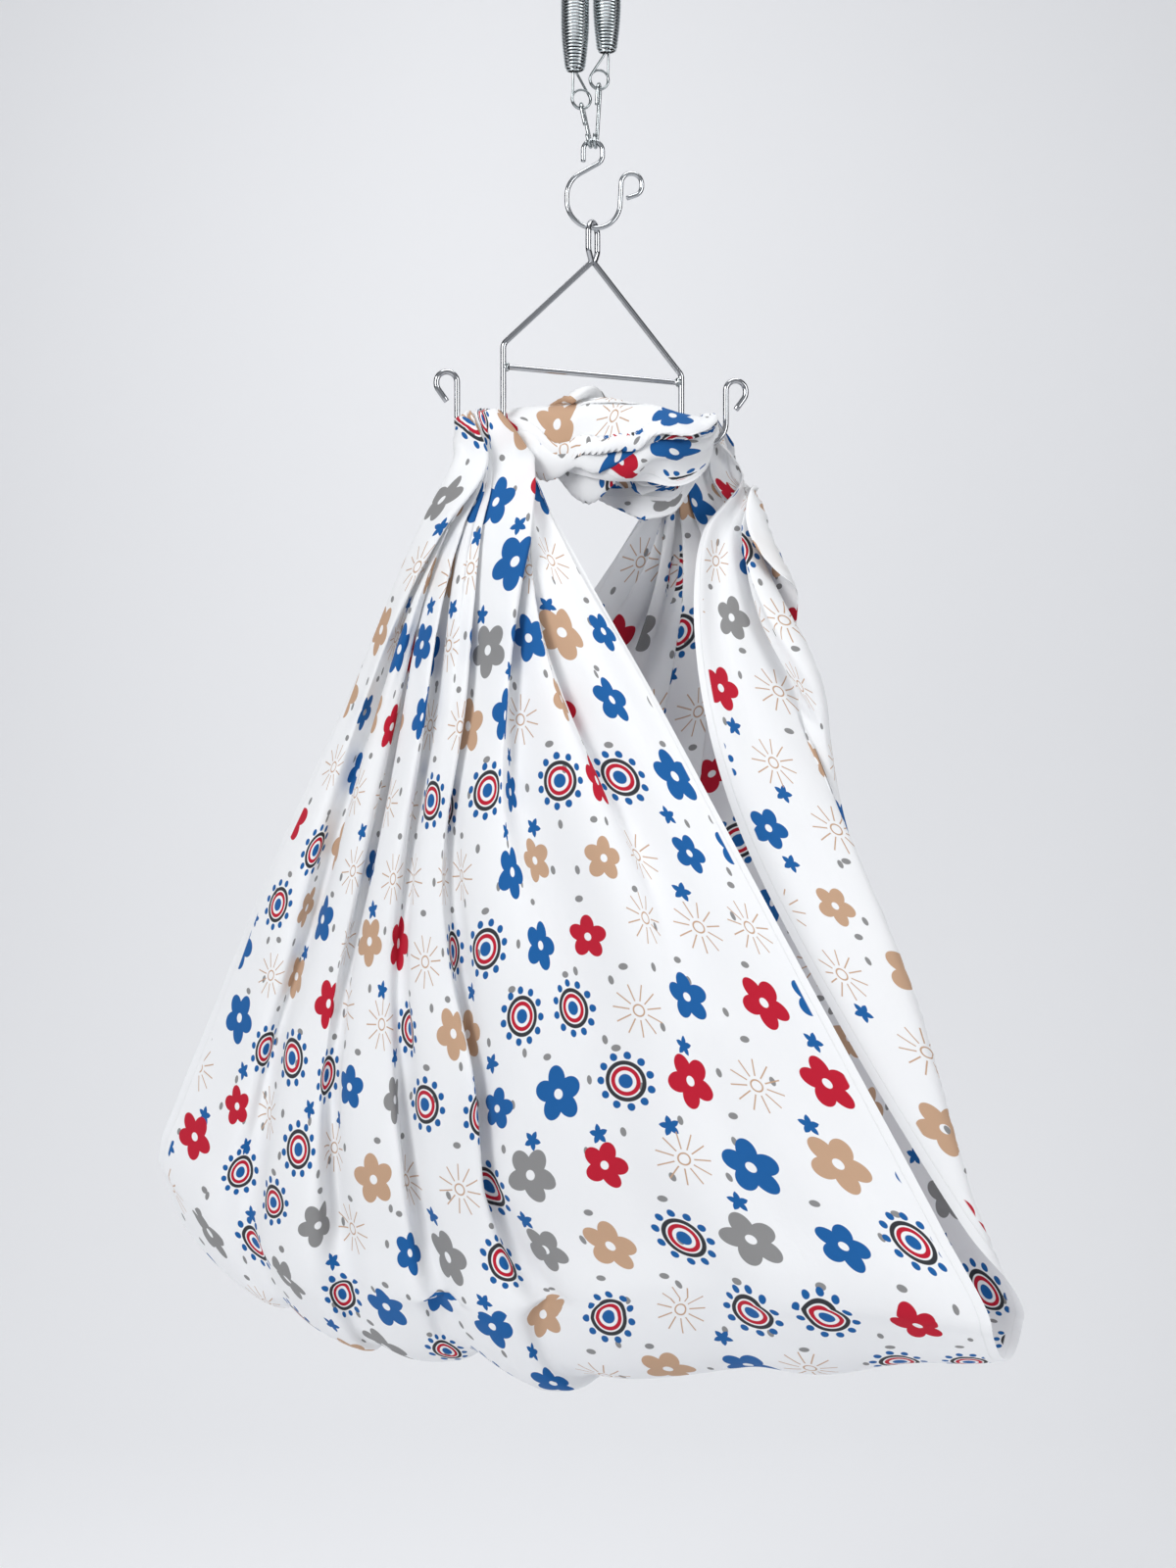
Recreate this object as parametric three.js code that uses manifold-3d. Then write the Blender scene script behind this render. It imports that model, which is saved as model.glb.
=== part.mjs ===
// A spring baby cradle: two tension springs, wire links, hooks, a bent-rod hanger and a hung cloth tube.
// Millimetres, +Z up. X runs along the hanger, -Y is the front, and the origin is the point that the
// top hook hangs from.
import * as THREE from 'three';
import { mergeVertices } from 'three/addons/utils/BufferGeometryUtils.js';
import Module from 'manifold-3d';

const wasm = await Module();
wasm.setup();

// Clearances
const seatGap = 0.3;

// Round wire and rod
const hookWire = 5;
const linkWire = 4;
const eyeWire = 2.5;
const springWire = 2.4;
const hangerRodWire = 6;
const crossbarWire = 5.7;

// Hooks: a small closed loop at one end and an open bowl with a curled tip at the other
const hookLoopRadius = 10;
const hookBowlRadius = 27;
const hookReach = 89;
const hookLoopArm = 12;
const hookWaist = 32;
const hookTipRadius = 10.5;
const hookTipRise = 20;
const hookTipLean = 3;
const hookTipTuck = 9;

// Links: open C links of two lengths, measured between the crowns of their bends
const linkBendRadius = 6.9;
const longLinkLength = 63.96;
const shortLinkLength = 42.96;
const linkLongArm = 23;
const linkShortArm = 12;
const linkSpread = 2.5;
const linkTurn = 20;
const linkHookGap = 0.9;

// Springs with tapered ends
const springLength = 190;
const springTurns = 36;
const springRadius = 13.3;
const springShoulderRadius = 9.4;
const springEndRadius = 6.5;
const springShoulder = 5;
const springTaper = 52;
const springLeftX = -18.5;
const springRightX = 14.5;

// Insert eyes: a ring of one and a half turns on two legs
const eyeRingRadius = 9.6;
const eyeDrop = 27;
const eyeLegSpread = 2;
const eyeLegDepth = 1.6;
const eyeTurnPitch = 2.9;
const eyeFootHeight = 8;
const eyeFootReach = 6.8;
const eyeShortSideShift = 6.5;
const eyeLongSideShift = 8;

// Hanger: one bent rod with a twisted eye, two legs, two hooks and a welded crossbar
const hangerEyeRadius = 11.5;
const hangerEyeHeight = 41;
const hangerEyeTwist = 56;
const hangerNeck = 6.6;
const hangerNeckBend = 7;
const legSpan = 185;
const leftShoulderDrop = 86;
const rightShoulderDrop = 112;
const shoulderBend = 10;
const leftWeldDrop = 23;
const rightWeldDrop = 8;
const hangerHookDrop = 224;
const hangerHookWidth = 47;
const hangerTipHeight = 67;
const hangerTipRadius = 10.5;
const hangerTipTuck = 5;
const hangerTipEnd = 30;
const weldLength = 4;
const weldWidth = 10;

// Cloth tube, hung over both hanger hooks
const clothThickness = 3;
const clothWidth = 1105;
const clothDrop = 972;
const troughHalfLength = 540;
const troughShift = 30;
const troughOffset = 30;
const troughHalfWidth = 98;
const troughNearWidthShare = 0.2;
const troughFarWidthShare = 0.45;
const troughHeight = 88;
const troughNearLift = 118;
const troughFarLift = 112;
const troughNearPower = 1.25;
const troughFarPower = 3.6;
const troughTurn = 48;
const panelBulge = 34;
const panelBulgePower = 0.8;
const hemCurl = 122;
const hemCurlPower = 0.72;
const foldDepth = 38;
const foldPower = 1.2;
const foldReachShare = 0.04;
const foldPlaceShares = [0.214, 0.429, 0.571, 0.714, 0.857];
const foldDepthShares = [0.35, 1, 0.9, 0.9, 0.7];
const bundleHalfWidth = 17.8;
const bundleSpread = 23;
const bundleRise = 28;
const bundleStep = 9;
const swagHalfWidth = 18;
const swagEndRise = 39;
const swagDrop = 52;
const swagHeight = 104;
const swagSideShare = 0.8;

// Facets
const wireSides = 8;
const arcStep = 24;
const springSides = 5;
const springSteps = 8;
const lumpSides = 12;
const panelRows = 6;
const troughRows = 6;
const clothColumns = 28;

const radians = THREE.MathUtils.degToRad;
const point = (x, y, z) => new THREE.Vector3(x, y, z);
const between = THREE.MathUtils.lerp;

// Finishes
const zinc = new THREE.MeshStandardMaterial({ color: 0x9ba7a9, roughness: 0.28, metalness: 1 });
const chrome = new THREE.MeshStandardMaterial({ color: 0xd5d8da, roughness: 0.12, metalness: 1 });
const steel = new THREE.MeshStandardMaterial({ color: 0xb4babd, roughness: 0.22, metalness: 1 });
const cotton = new THREE.MeshStandardMaterial({ color: 0xf4f5f7, roughness: 0.92, metalness: 0 });

// Heights of the chain, from the top hook down
const topHookLoopZ = hookWire / 2 - hookReach + hookLoopRadius;
const linkAtHook = (linkWire + hookWire) / 2 + linkHookGap;
const linkRoom = linkBendRadius - linkWire / 2 - seatGap;
const ringHalf = eyeTurnPitch / 2 / Math.cos(THREE.MathUtils.degToRad(linkTurn));
const ringSink = Math.sqrt((linkRoom - eyeWire / 2 - 2 * seatGap) ** 2 - ringHalf ** 2);
const ringCrown = eyeRingRadius - (linkBendRadius - ringSink);
const hookCrown = Math.sqrt((hookLoopRadius - linkAtHook) ** 2 - linkSpread ** 2);
const shortSideReach = hookCrown + shortLinkLength + ringCrown + eyeDrop;
const longSideReach = hookCrown + longLinkLength + ringCrown + eyeDrop;
const leftSpringTopZ = topHookLoopZ - longSideReach;
const rightSpringTopZ = topHookLoopZ - shortSideReach;
const lowHookLoopZ = rightSpringTopZ - springLength - longSideReach;
const lowHookBowlZ = lowHookLoopZ + hookLoopRadius - hookReach;
const hangerEyeTopZ = lowHookBowlZ + (hookWire + hangerRodWire) / 2 + seatGap;
const neckZ = hangerEyeTopZ - hangerEyeHeight;
const hangerHookZ = hangerEyeTopZ - hangerHookDrop;

// Points of a path with round corners: each corner is a point and its bend radius
function bentPath(corners, step = arcStep) {
  const points = [corners[0].at];
  for (let i = 1; i < corners.length - 1; i++) {
    const { at, radius } = corners[i];
    const back = corners[i - 1].at.clone().sub(at).normalize();
    const ahead = corners[i + 1].at.clone().sub(at).normalize();
    const opening = back.angleTo(ahead);
    const turned = Math.PI - opening;
    const middle = back.clone().add(ahead).normalize();
    const centre = at.clone().addScaledVector(middle, radius / Math.sin(opening / 2));
    const axis = back.clone().cross(ahead).normalize();
    const start = at.clone().addScaledVector(back, radius / Math.tan(opening / 2)).sub(centre);
    const steps = Math.max(1, Math.round(turned / radians(step)));
    for (let k = 0; k <= steps; k++) {
      const spoke = start.clone().applyAxisAngle(axis, (-turned * k) / steps);
      points.push(spoke.add(centre));
    }
  }
  points.push(corners[corners.length - 1].at);
  return points.filter((p, i) => i === 0 || p.distanceTo(points[i - 1]) > seatGap / 2);
}

// One closed round wire through the points, its section carried along without twist
function wireAlong(points, radius, sides = wireSides) {
  const rings = [];
  let side = null;
  points.forEach((here, i) => {
    const before = points[Math.max(i - 1, 0)];
    const after = points[Math.min(i + 1, points.length - 1)];
    const way = after.clone().sub(before).normalize();
    side ??= Math.abs(way.z) > Math.SQRT1_2 ? point(1, 0, 0) : point(0, 0, 1);
    side = side.clone().addScaledVector(way, -side.dot(way)).normalize();
    const up = way.clone().cross(side);
    const into = here.clone().sub(before).normalize();
    const outOf = after.clone().sub(here).normalize();
    const bend = i > 0 && i < points.length - 1 ? into.angleTo(outOf) / 2 : 0;
    const bendSide = outOf.clone().sub(into).normalize();
    const ring = [];
    for (let k = 0; k < sides; k++) {
      const angle = (2 * Math.PI * (k + 0.5)) / sides;
      const spoke = side.clone().multiplyScalar(Math.cos(angle)).addScaledVector(up, Math.sin(angle));
      const stretch = bend > 0 ? spoke.dot(bendSide) * (1 / Math.cos(bend) - 1) : 0;
      ring.push(here.clone().addScaledVector(spoke, radius).addScaledVector(bendSide, stretch * radius));
    }
    rings.push(ring);
  });
  return closedLoft(rings);
}

// A closed solid from equal rings of points, capped at both ends
function closedLoft(rings) {
  const sides = rings[0].length;
  const places = rings.flat().flatMap((p) => [p.x, p.y, p.z]);
  const faces = [];
  for (let i = 0; i + 1 < rings.length; i++) {
    for (let k = 0; k < sides; k++) {
      const a = i * sides + k;
      const b = i * sides + ((k + 1) % sides);
      faces.push(a, b, b + sides, a, b + sides, a + sides);
    }
  }
  const last = (rings.length - 1) * sides;
  for (let k = 1; k + 1 < sides; k++) {
    faces.push(0, k + 1, k, last, last + k, last + k + 1);
  }
  return solidFrom(places, faces);
}

// A geometry whose faces point outwards, from places and triangles
function solidFrom(places, faces) {
  const corner = (i) => point(places[3 * i], places[3 * i + 1], places[3 * i + 2]);
  let volume = 0;
  for (let f = 0; f < faces.length; f += 3) {
    volume += corner(faces[f]).dot(corner(faces[f + 1]).cross(corner(faces[f + 2])));
  }
  const outward = volume > 0 ? faces : faces.slice().reverse();
  const geometry = new THREE.BufferGeometry();
  geometry.setAttribute('position', new THREE.Float32BufferAttribute(places, 3));
  geometry.setIndex(outward);
  return geometry;
}

function toManifold(geometry) {
  const bare = geometry.clone();
  bare.deleteAttribute('normal');
  bare.deleteAttribute('uv');
  const merged = mergeVertices(bare);
  const mesh = new wasm.Mesh({
    numProp: 3,
    vertProperties: new Float32Array(merged.attributes.position.array),
    triVerts: new Uint32Array(merged.index.array),
  });
  return new wasm.Manifold(mesh);
}

function fromManifold(solid) {
  const mesh = solid.getMesh();
  const geometry = new THREE.BufferGeometry();
  geometry.setAttribute('position', new THREE.BufferAttribute(mesh.vertProperties, 3));
  geometry.setIndex(new THREE.BufferAttribute(mesh.triVerts, 1));
  return geometry;
}

const cradle = new THREE.Group();

function add(name, geometry, material) {
  const mesh = new THREE.Mesh(geometry, material);
  mesh.name = name;
  cradle.add(mesh);
  return mesh;
}

// Hooks: drawn with the loop on top; a turned one has its bowl on top
function hookPath(x, loopZ, turned) {
  const flip = turned ? -1 : 1;
  const at = (across, down, radius) => ({ at: point(x + flip * across, 0, loopZ - flip * down), radius });
  const bowlZ = hookReach - hookLoopRadius;
  const tipX = hookBowlRadius + hookTipLean;
  const tipZ = bowlZ - hookBowlRadius - hookTipRise;
  return bentPath([
    at(-hookLoopRadius, hookLoopArm, 0),
    at(-hookLoopRadius, -hookLoopRadius, hookLoopRadius),
    at(hookLoopRadius, -hookLoopRadius, hookLoopRadius),
    at(hookLoopRadius, hookLoopRadius, hookLoopRadius),
    at(-hookBowlRadius, hookWaist, hookBowlRadius),
    at(-hookBowlRadius, bowlZ, hookBowlRadius),
    at(hookBowlRadius, bowlZ, hookBowlRadius),
    at(tipX, tipZ - hookTipRadius, hookTipRadius),
    at(tipX + 2 * hookTipRadius, tipZ - hookTipRadius, hookTipRadius),
    at(tipX + 2 * hookTipRadius, tipZ + hookTipTuck, hookTipRadius),
    at(tipX + hookTipRadius / 2, tipZ + hookTipRadius + hookTipTuck / 2, 0),
  ]);
}
add('top_hook', wireAlong(hookPath(0, topHookLoopZ, true), hookWire / 2), chrome);
add('s_hook', wireAlong(hookPath(0, lowHookLoopZ, false), hookWire / 2), chrome);

// One side of a linkage: the insert eye of a spring's end, and the link from its ring to a hook's loop.
// The side is drawn hanging below the spring; a turned side stands above it.
function linkSide({ springX, springZ, loopZ, shift, side, turned }) {
  const up = turned ? -1 : 1;
  const springEnd = { x: springX, z: springZ };
  const ring = { x: springX + shift, z: springZ - up * eyeDrop };
  const ringEnd = point(ring.x, 0, ring.z - up * ringCrown);
  const hookEnd = point(side * linkSpread, 0, loopZ + up * hookCrown);
  const eye = wireAlong(eyePath(springEnd, ring, up), eyeWire / 2);
  const link = wireAlong(linkPath(ringEnd, hookEnd), linkWire / 2);
  return { eye, link };
}

// Legs from feet inside the spring, and one and a half turns between the two tangents
function eyePath(spring, ring, up) {
  const legs = [-1, 1].map((hand) => {
    const x = spring.x + hand * eyeLegSpread;
    const rise = Math.abs(spring.z - ring.z);
    const far = Math.hypot(x - ring.x, rise);
    const lean = Math.atan2(rise, x - ring.x);
    const tangent = lean - hand * Math.acos(eyeRingRadius / far);
    return { x, y: (hand * eyeTurnPitch) / 2, tangent };
  });
  const turns = legs[1].tangent - legs[0].tangent + 4 * Math.PI;
  const steps = Math.round(turns / radians(arcStep));
  const foot = (leg, hand) => [
    point(spring.x + hand * eyeFootReach, hand * eyeLegDepth, spring.z + up * (eyeFootHeight + eyeWire)),
    point(leg.x, hand * eyeLegDepth, spring.z + up * eyeFootHeight),
    point(leg.x, hand * eyeLegDepth, spring.z),
  ];
  const points = foot(legs[0], -1);
  for (let k = 0; k <= steps; k++) {
    const angle = legs[0].tangent + (turns * k) / steps;
    const depth = ((k / steps - 1 / 2) * turns * eyeTurnPitch) / (2 * Math.PI);
    points.push(point(
      ring.x + eyeRingRadius * Math.cos(angle),
      depth,
      ring.z + up * eyeRingRadius * Math.sin(angle),
    ));
  }
  return [...points, ...foot(legs[1], 1).reverse()];
}

// An open C link between its two crowns, its plane turned from the Y axis
function linkPath(ringEnd, hookEnd) {
  const way = hookEnd.clone().sub(ringEnd).normalize();
  const turn = radians(linkTurn);
  const aside = point(Math.sin(turn), Math.cos(turn), 0);
  aside.addScaledVector(way, -aside.dot(way)).normalize();
  const at = (crown, along, across, radius) => ({
    at: crown.clone().addScaledVector(way, along).addScaledVector(aside, across),
    radius,
  });
  return bentPath([
    at(ringEnd, linkLongArm, -linkBendRadius, 0),
    at(ringEnd, 0, -linkBendRadius, linkBendRadius),
    at(ringEnd, 0, linkBendRadius, linkBendRadius),
    at(hookEnd, 0, linkBendRadius, linkBendRadius),
    at(hookEnd, 0, -linkBendRadius, linkBendRadius),
    at(hookEnd, -linkShortArm, -linkBendRadius, 0),
  ]);
}

const springFootLeft = leftSpringTopZ - springLength;
const springFootRight = rightSpringTopZ - springLength;
const sides = {
  upper_left: {
    springX: springLeftX, springZ: leftSpringTopZ, loopZ: topHookLoopZ,
    shift: eyeLongSideShift, side: -1, turned: true,
  },
  upper_right: {
    springX: springRightX, springZ: rightSpringTopZ, loopZ: topHookLoopZ,
    shift: -eyeShortSideShift, side: 1, turned: true,
  },
  lower_left: {
    springX: springLeftX, springZ: springFootLeft, loopZ: lowHookLoopZ,
    shift: eyeShortSideShift, side: -1, turned: false,
  },
  lower_right: {
    springX: springRightX, springZ: springFootRight, loopZ: lowHookLoopZ,
    shift: -eyeLongSideShift, side: 1, turned: false,
  },
};
for (const [name, place] of Object.entries(sides)) {
  const { eye, link } = linkSide(place);
  add(`${name}_eye`, eye, steel);
  add(`${name}_link`, link, steel);
}

// Springs: one unbroken coil whose radius narrows in two steps towards each end
function coilRadius(along) {
  const end = Math.min(along, springLength - along);
  if (end < springShoulder) {
    return between(springEndRadius, springShoulderRadius, end / springShoulder);
  }
  const share = Math.min(1, (end - springShoulder) / (springTaper - springShoulder));
  return between(springShoulderRadius, springRadius, Math.sin((share * Math.PI) / 2));
}

function springPath(x, topZ) {
  const points = [];
  const steps = springTurns * springSteps;
  const travel = springLength - springWire;
  for (let k = 0; k <= steps; k++) {
    const along = springWire / 2 + (travel * k) / steps;
    const angle = (2 * Math.PI * k) / springSteps;
    const radius = coilRadius(along);
    points.push(point(x + radius * Math.cos(angle), radius * Math.sin(angle), topZ - along));
  }
  return points;
}

// The least gap between one turn's surface and the next, measured on the path's points
function leastGap(points) {
  let least = Infinity;
  for (let i = 0; i < points.length; i++) {
    for (let k = i + springSteps / 2; k < points.length; k++) {
      least = Math.min(least, points[i].distanceTo(points[k]) - springWire);
    }
  }
  return least;
}

for (const [name, x, topZ] of [['spring_left', springLeftX, leftSpringTopZ],
  ['spring_right', springRightX, rightSpringTopZ]]) {
  const path = springPath(x, topZ);
  console.log(`${name}: least gap between turns ${leastGap(path).toFixed(2)} mm`);
  add(name, wireAlong(path, springWire / 2, springSides), zinc);
}

// Hanger rod: half of it, from the top of the eye to a hook's curled tip
const twist = radians(hangerEyeTwist);
function hangerHalf(hand, shoulderDrop) {
  const turned = (across, z, radius) => ({
    at: point(hand * across * Math.cos(twist), hand * across * Math.sin(twist), z), radius,
  });
  const flat = (across, z, radius) => ({ at: point(hand * across, 0, z), radius });
  const leg = legSpan / 2;
  const stem = leg + hangerHookWidth;
  const hookBend = hangerHookWidth / 2;
  const tipZ = hangerHookZ + hangerTipHeight;
  const tipX = stem + 2 * hangerTipRadius;
  return [
    turned(hangerEyeRadius, hangerEyeTopZ, hangerEyeRadius),
    turned(hangerEyeRadius, neckZ + hangerEyeRadius, hangerNeckBend),
    turned(hangerNeck / 2, neckZ, hangerNeckBend / 2),
    flat(leg, neckZ - shoulderDrop, shoulderBend),
    flat(leg, hangerHookZ, hookBend),
    flat(stem, hangerHookZ, hookBend),
    flat(stem, tipZ, hangerTipRadius),
    flat(tipX, tipZ, hangerTipRadius),
    flat(tipX, tipZ - hangerTipTuck - hangerTipRadius, hangerTipRadius),
    flat(stem + hangerTipRadius, tipZ - hangerTipEnd, 0),
  ];
}
const hangerCorners = [
  ...hangerHalf(-1, leftShoulderDrop).reverse(),
  ...hangerHalf(1, rightShoulderDrop),
];
const hangerPoints = bentPath(hangerCorners);
add('hanger_rod', wireAlong(hangerPoints, hangerRodWire / 2), chrome);

// Crossbar between the legs, its ends coped round them, and a weld lump at each end
const leftWeld = point(-legSpan / 2, 0, neckZ - leftShoulderDrop - leftWeldDrop);
const rightWeld = point(legSpan / 2, 0, neckZ - rightShoulderDrop - rightWeldDrop);
const legCut = (weld) => toManifold(
  new THREE.CylinderGeometry(
    hangerRodWire / 2 + seatGap, hangerRodWire / 2 + seatGap, 2 * weldWidth, 2 * lumpSides,
  ).rotateX(Math.PI / 2).translate(weld.x, weld.y, weld.z),
);
const barWay = rightWeld.clone().sub(leftWeld).normalize();
const crossbar = toManifold(wireAlong([leftWeld, rightWeld], crossbarWire / 2))
  .subtract(legCut(leftWeld)).subtract(legCut(rightWeld));
add('crossbar', fromManifold(crossbar), chrome);

const barCut = toManifold(wireAlong(
  [leftWeld.clone().addScaledVector(barWay, -weldWidth), rightWeld.clone().addScaledVector(barWay, weldWidth)],
  crossbarWire / 2 + seatGap,
));
for (const [name, weld, hand] of [['left_weld', leftWeld, 1], ['right_weld', rightWeld, -1]]) {
  const middle = weld.clone().addScaledVector(barWay, hand * weldLength);
  const lump = toManifold(
    new THREE.SphereGeometry(weldWidth / 2, lumpSides, lumpSides / 2).translate(middle.x, middle.y, middle.z),
  );
  add(name, fromManifold(lump.subtract(legCut(weld)).subtract(barCut)), steel);
}

// Cloth: rungs across the tube's width follow one another round the loop, each from its near hem, at a
// share of 1, to its far hem, at -1
const hookX = (legSpan + hangerHookWidth) / 2;
const bundleFloor = hangerHookZ + hangerHookWidth / 2 - bundleHalfWidth;
const axisWay = point(Math.cos(radians(troughTurn)), -Math.sin(radians(troughTurn)), 0);
const troughWay = point(Math.sin(radians(troughTurn)), Math.cos(radians(troughTurn)), 0);
const hemWay = point(-1, 0, 0);
const columnShares = Array.from({ length: clothColumns + 1 }, (_, i) => 1 - (2 * i) / clothColumns);

// A bent line about its centre: its ends lie at half along across, and at depth along inward
function rung({ centre, across, inward, half, depth }) {
  return columnShares.map((share) => {
    const bend = (share * Math.PI) / 2;
    return centre.clone().addScaledVector(across, Math.sin(bend) * half)
      .addScaledVector(inward, depth * (1 - Math.cos(bend)));
  });
}

// The cloth where it lies over a hanger hook, from the outside of the loop to its inside
function hookRungs(x, hand) {
  const step = (y, drop, tilt, half, depth) => rung({
    centre: point(x, hand * y, bundleFloor - drop),
    across: point(1, 0, 0),
    inward: point(0, -hand * Math.sin(tilt), -Math.cos(tilt)),
    half,
    depth,
  });
  return [
    step(2 * bundleStep, 3 * bundleStep, Math.PI / 2, bundleSpread, -bundleRise / 2),
    step(bundleStep, bundleStep / 2, Math.PI / 4, bundleHalfWidth, -bundleRise),
    step(0, 0, 0, bundleHalfWidth, -bundleRise),
  ];
}

// The swag: a deep channel from behind the left leg to the front of the right leg
function swagRungs() {
  const legX = legSpan / 2;
  const clear = swagHalfWidth + bundleStep;
  const step = (share, drop, rise) => rung({
    centre: point(share * legX, -share * clear, bundleFloor - drop),
    across: point(0, -1, 0),
    inward: point(0, 0, -1),
    half: swagHalfWidth,
    depth: -rise,
  });
  return [
    step(-1, 0, swagEndRise),
    step(-1 / 2, swagDrop * swagSideShare, swagHeight * swagSideShare),
    step(0, swagDrop, swagHeight),
    step(1 / 2, swagDrop * swagSideShare, swagHeight * swagSideShare),
    step(1, 0, swagEndRise),
  ];
}

// A point of the trough at a share along it, and at an angle from its left side to its right side
function troughPoint(share, angle) {
  const near = share > 0;
  const widthShare = near ? troughNearWidthShare : troughFarWidthShare;
  const lift = near ? troughNearLift : troughFarLift;
  const power = near ? troughNearPower : troughFarPower;
  const half = troughHalfWidth * (1 - (1 - widthShare) * share ** 2);
  const rise = lift * Math.abs(share) ** power + troughHeight * Math.cos(angle) ** 2;
  return point(0, 0, bundleFloor - clothDrop + rise)
    .addScaledVector(axisWay, share * troughHalfLength - troughShift)
    .addScaledVector(troughWay, -Math.cos(angle) * half - troughOffset);
}

// The trough's rungs, from its left side down and up to its right side
function troughRungs() {
  return Array.from({ length: troughRows + 1 }, (_, i) => (
    columnShares.map((share) => troughPoint(share, (Math.PI * i) / troughRows))
  ));
}

// The point of a row at a share of its width, from 0 at the near hem to 1 at the far hem
function rowAt(row, place) {
  const along = place * clothColumns;
  const index = Math.min(Math.floor(along), clothColumns - 1);
  return row[index].clone().lerp(row[index + 1], along - index);
}

// How far the folds that run down a panel lie inside its surface, at a share of its width
function foldAt(place) {
  const depths = foldPlaceShares.map((fold, i) => {
    const away = (place - fold) / foldReachShare;
    return foldDepthShares[i] * Math.exp(-(away ** 2));
  });
  return foldDepth * Math.max(...depths);
}

// A panel's rungs between a hook's outer rung and the trough's edge, bulged outwards, with its near
// hem turned in by up to curl
function panelRungs(top, foot, outward, curl) {
  const rungs = [];
  for (let i = 1; i < panelRows; i++) {
    const share = i / panelRows;
    const bow = Math.sin(Math.PI * share ** panelBulgePower);
    const depth = Math.sin(Math.PI * share ** foldPower);
    const turned = (curl / clothWidth) * Math.sin(Math.PI * share ** hemCurlPower);
    rungs.push(columnShares.map((across) => {
      const place = (1 - across) / 2;
      const ray = Math.max((place - turned) / (1 - turned), 0);
      const over = Math.max(turned - place, 0) * clothWidth;
      const bulge = bow * panelBulge * 4 * ray * (1 - ray) - depth * foldAt(place);
      return rowAt(top, ray).lerp(rowAt(foot, ray), share)
        .addScaledVector(outward, bulge).addScaledVector(hemWay, over);
    }));
  }
  return rungs;
}

const leftHook = hookRungs(-hookX, -1);
const rightHook = hookRungs(hookX, 1).reverse();
const trough = troughRungs();
const leftPanel = panelRungs(leftHook[0], trough[0], troughWay.clone().negate(), 0);
const rightPanel = panelRungs(rightHook[2], trough[troughRows], troughWay, hemCurl);
const clothRungs = [
  ...leftHook, ...swagRungs(), ...rightHook, ...rightPanel, ...trough.reverse(), ...leftPanel.reverse(),
];

// Both faces of the cloth at each rung, half a thickness to either side
function clothFaces(rungs) {
  const count = rungs.length;
  return rungs.map((row, i) => {
    const faces = [[], []];
    row.forEach((p, k) => {
      const round = rungs[(i + 1) % count][k].clone().sub(rungs[(i + count - 1) % count][k]);
      const across = row[Math.min(k + 1, clothColumns)].clone().sub(row[Math.max(k - 1, 0)]);
      const normal = round.cross(across).normalize();
      faces[0].push(p.clone().addScaledVector(normal, clothThickness / 2));
      faces[1].push(p.clone().addScaledVector(normal, -clothThickness / 2));
    });
    return [...faces[0], ...faces[1].reverse()];
  });
}

// One stretch of the cloth from one rung to another, drawn in at both ends to leave a gap
function clothStretch(sections, from, to) {
  const rows = sections.slice(from, to + 1).map((row) => row.map((p) => p.clone()));
  const drawIn = (end, next) => end.forEach((p, k) => {
    const way = next[k].clone().sub(p);
    p.addScaledVector(way, seatGap / 2 / way.length());
  });
  drawIn(rows[0], rows[1]);
  drawIn(rows[rows.length - 1], rows[rows.length - 2]);
  return stripLoft(rows);
}

// A closed solid from equal strip sections, capped by quads between their two long sides. Both sides are
// split along the same diagonals, so the wall between them stays even.
function stripLoft(rows) {
  const size = rows[0].length;
  const places = rows.flat().flatMap((p) => [p.x, p.y, p.z]);
  const faces = [];
  for (let i = 0; i + 1 < rows.length; i++) {
    for (let k = 0; k < size; k++) {
      const a = i * size + k;
      const b = i * size + ((k + 1) % size);
      const front = k < clothColumns;
      faces.push(a, b, front ? b + size : a + size, front ? a : b, b + size, a + size);
    }
  }
  const last = (rows.length - 1) * size;
  for (let k = 0; k < clothColumns; k++) {
    const far = size - 1 - k;
    faces.push(k, far - 1, k + 1, k, far, far - 1);
    faces.push(last + k, last + k + 1, last + far - 1, last + k, last + far - 1, last + far);
  }
  return solidFrom(places, faces);
}

const clothSections = clothFaces(clothRungs);
const closedSections = [...clothSections, clothSections[0]];
const swagEnd = leftHook.length + rightHook.length + swagRungs().length - 1;
const rightEnd = swagEnd + panelRows;
const troughEnd = rightEnd + troughRows;
add('cloth_swag', clothStretch(closedSections, 0, swagEnd), cotton);
add('cloth_right_panel', clothStretch(closedSections, swagEnd, rightEnd), cotton);
add('cloth_trough', clothStretch(closedSections, rightEnd, troughEnd), cotton);
add('cloth_left_panel', clothStretch(closedSections, troughEnd, clothRungs.length), cotton);


export default cradle;
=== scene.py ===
"""The looks of a hanging spring cradle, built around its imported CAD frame.

Everything is in the frame of the CAD part: +Z up, X along the hanger, -Y to the front, and the
origin at the point that the cradle hangs from. Sizes are written in millimetres and become metres
where a mesh is made.
"""

import logging
import math
from dataclasses import dataclass, field
from enum import Enum

import bmesh
import bpy
import numpy as np
from mathutils import Matrix, Quaternion, Vector

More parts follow.
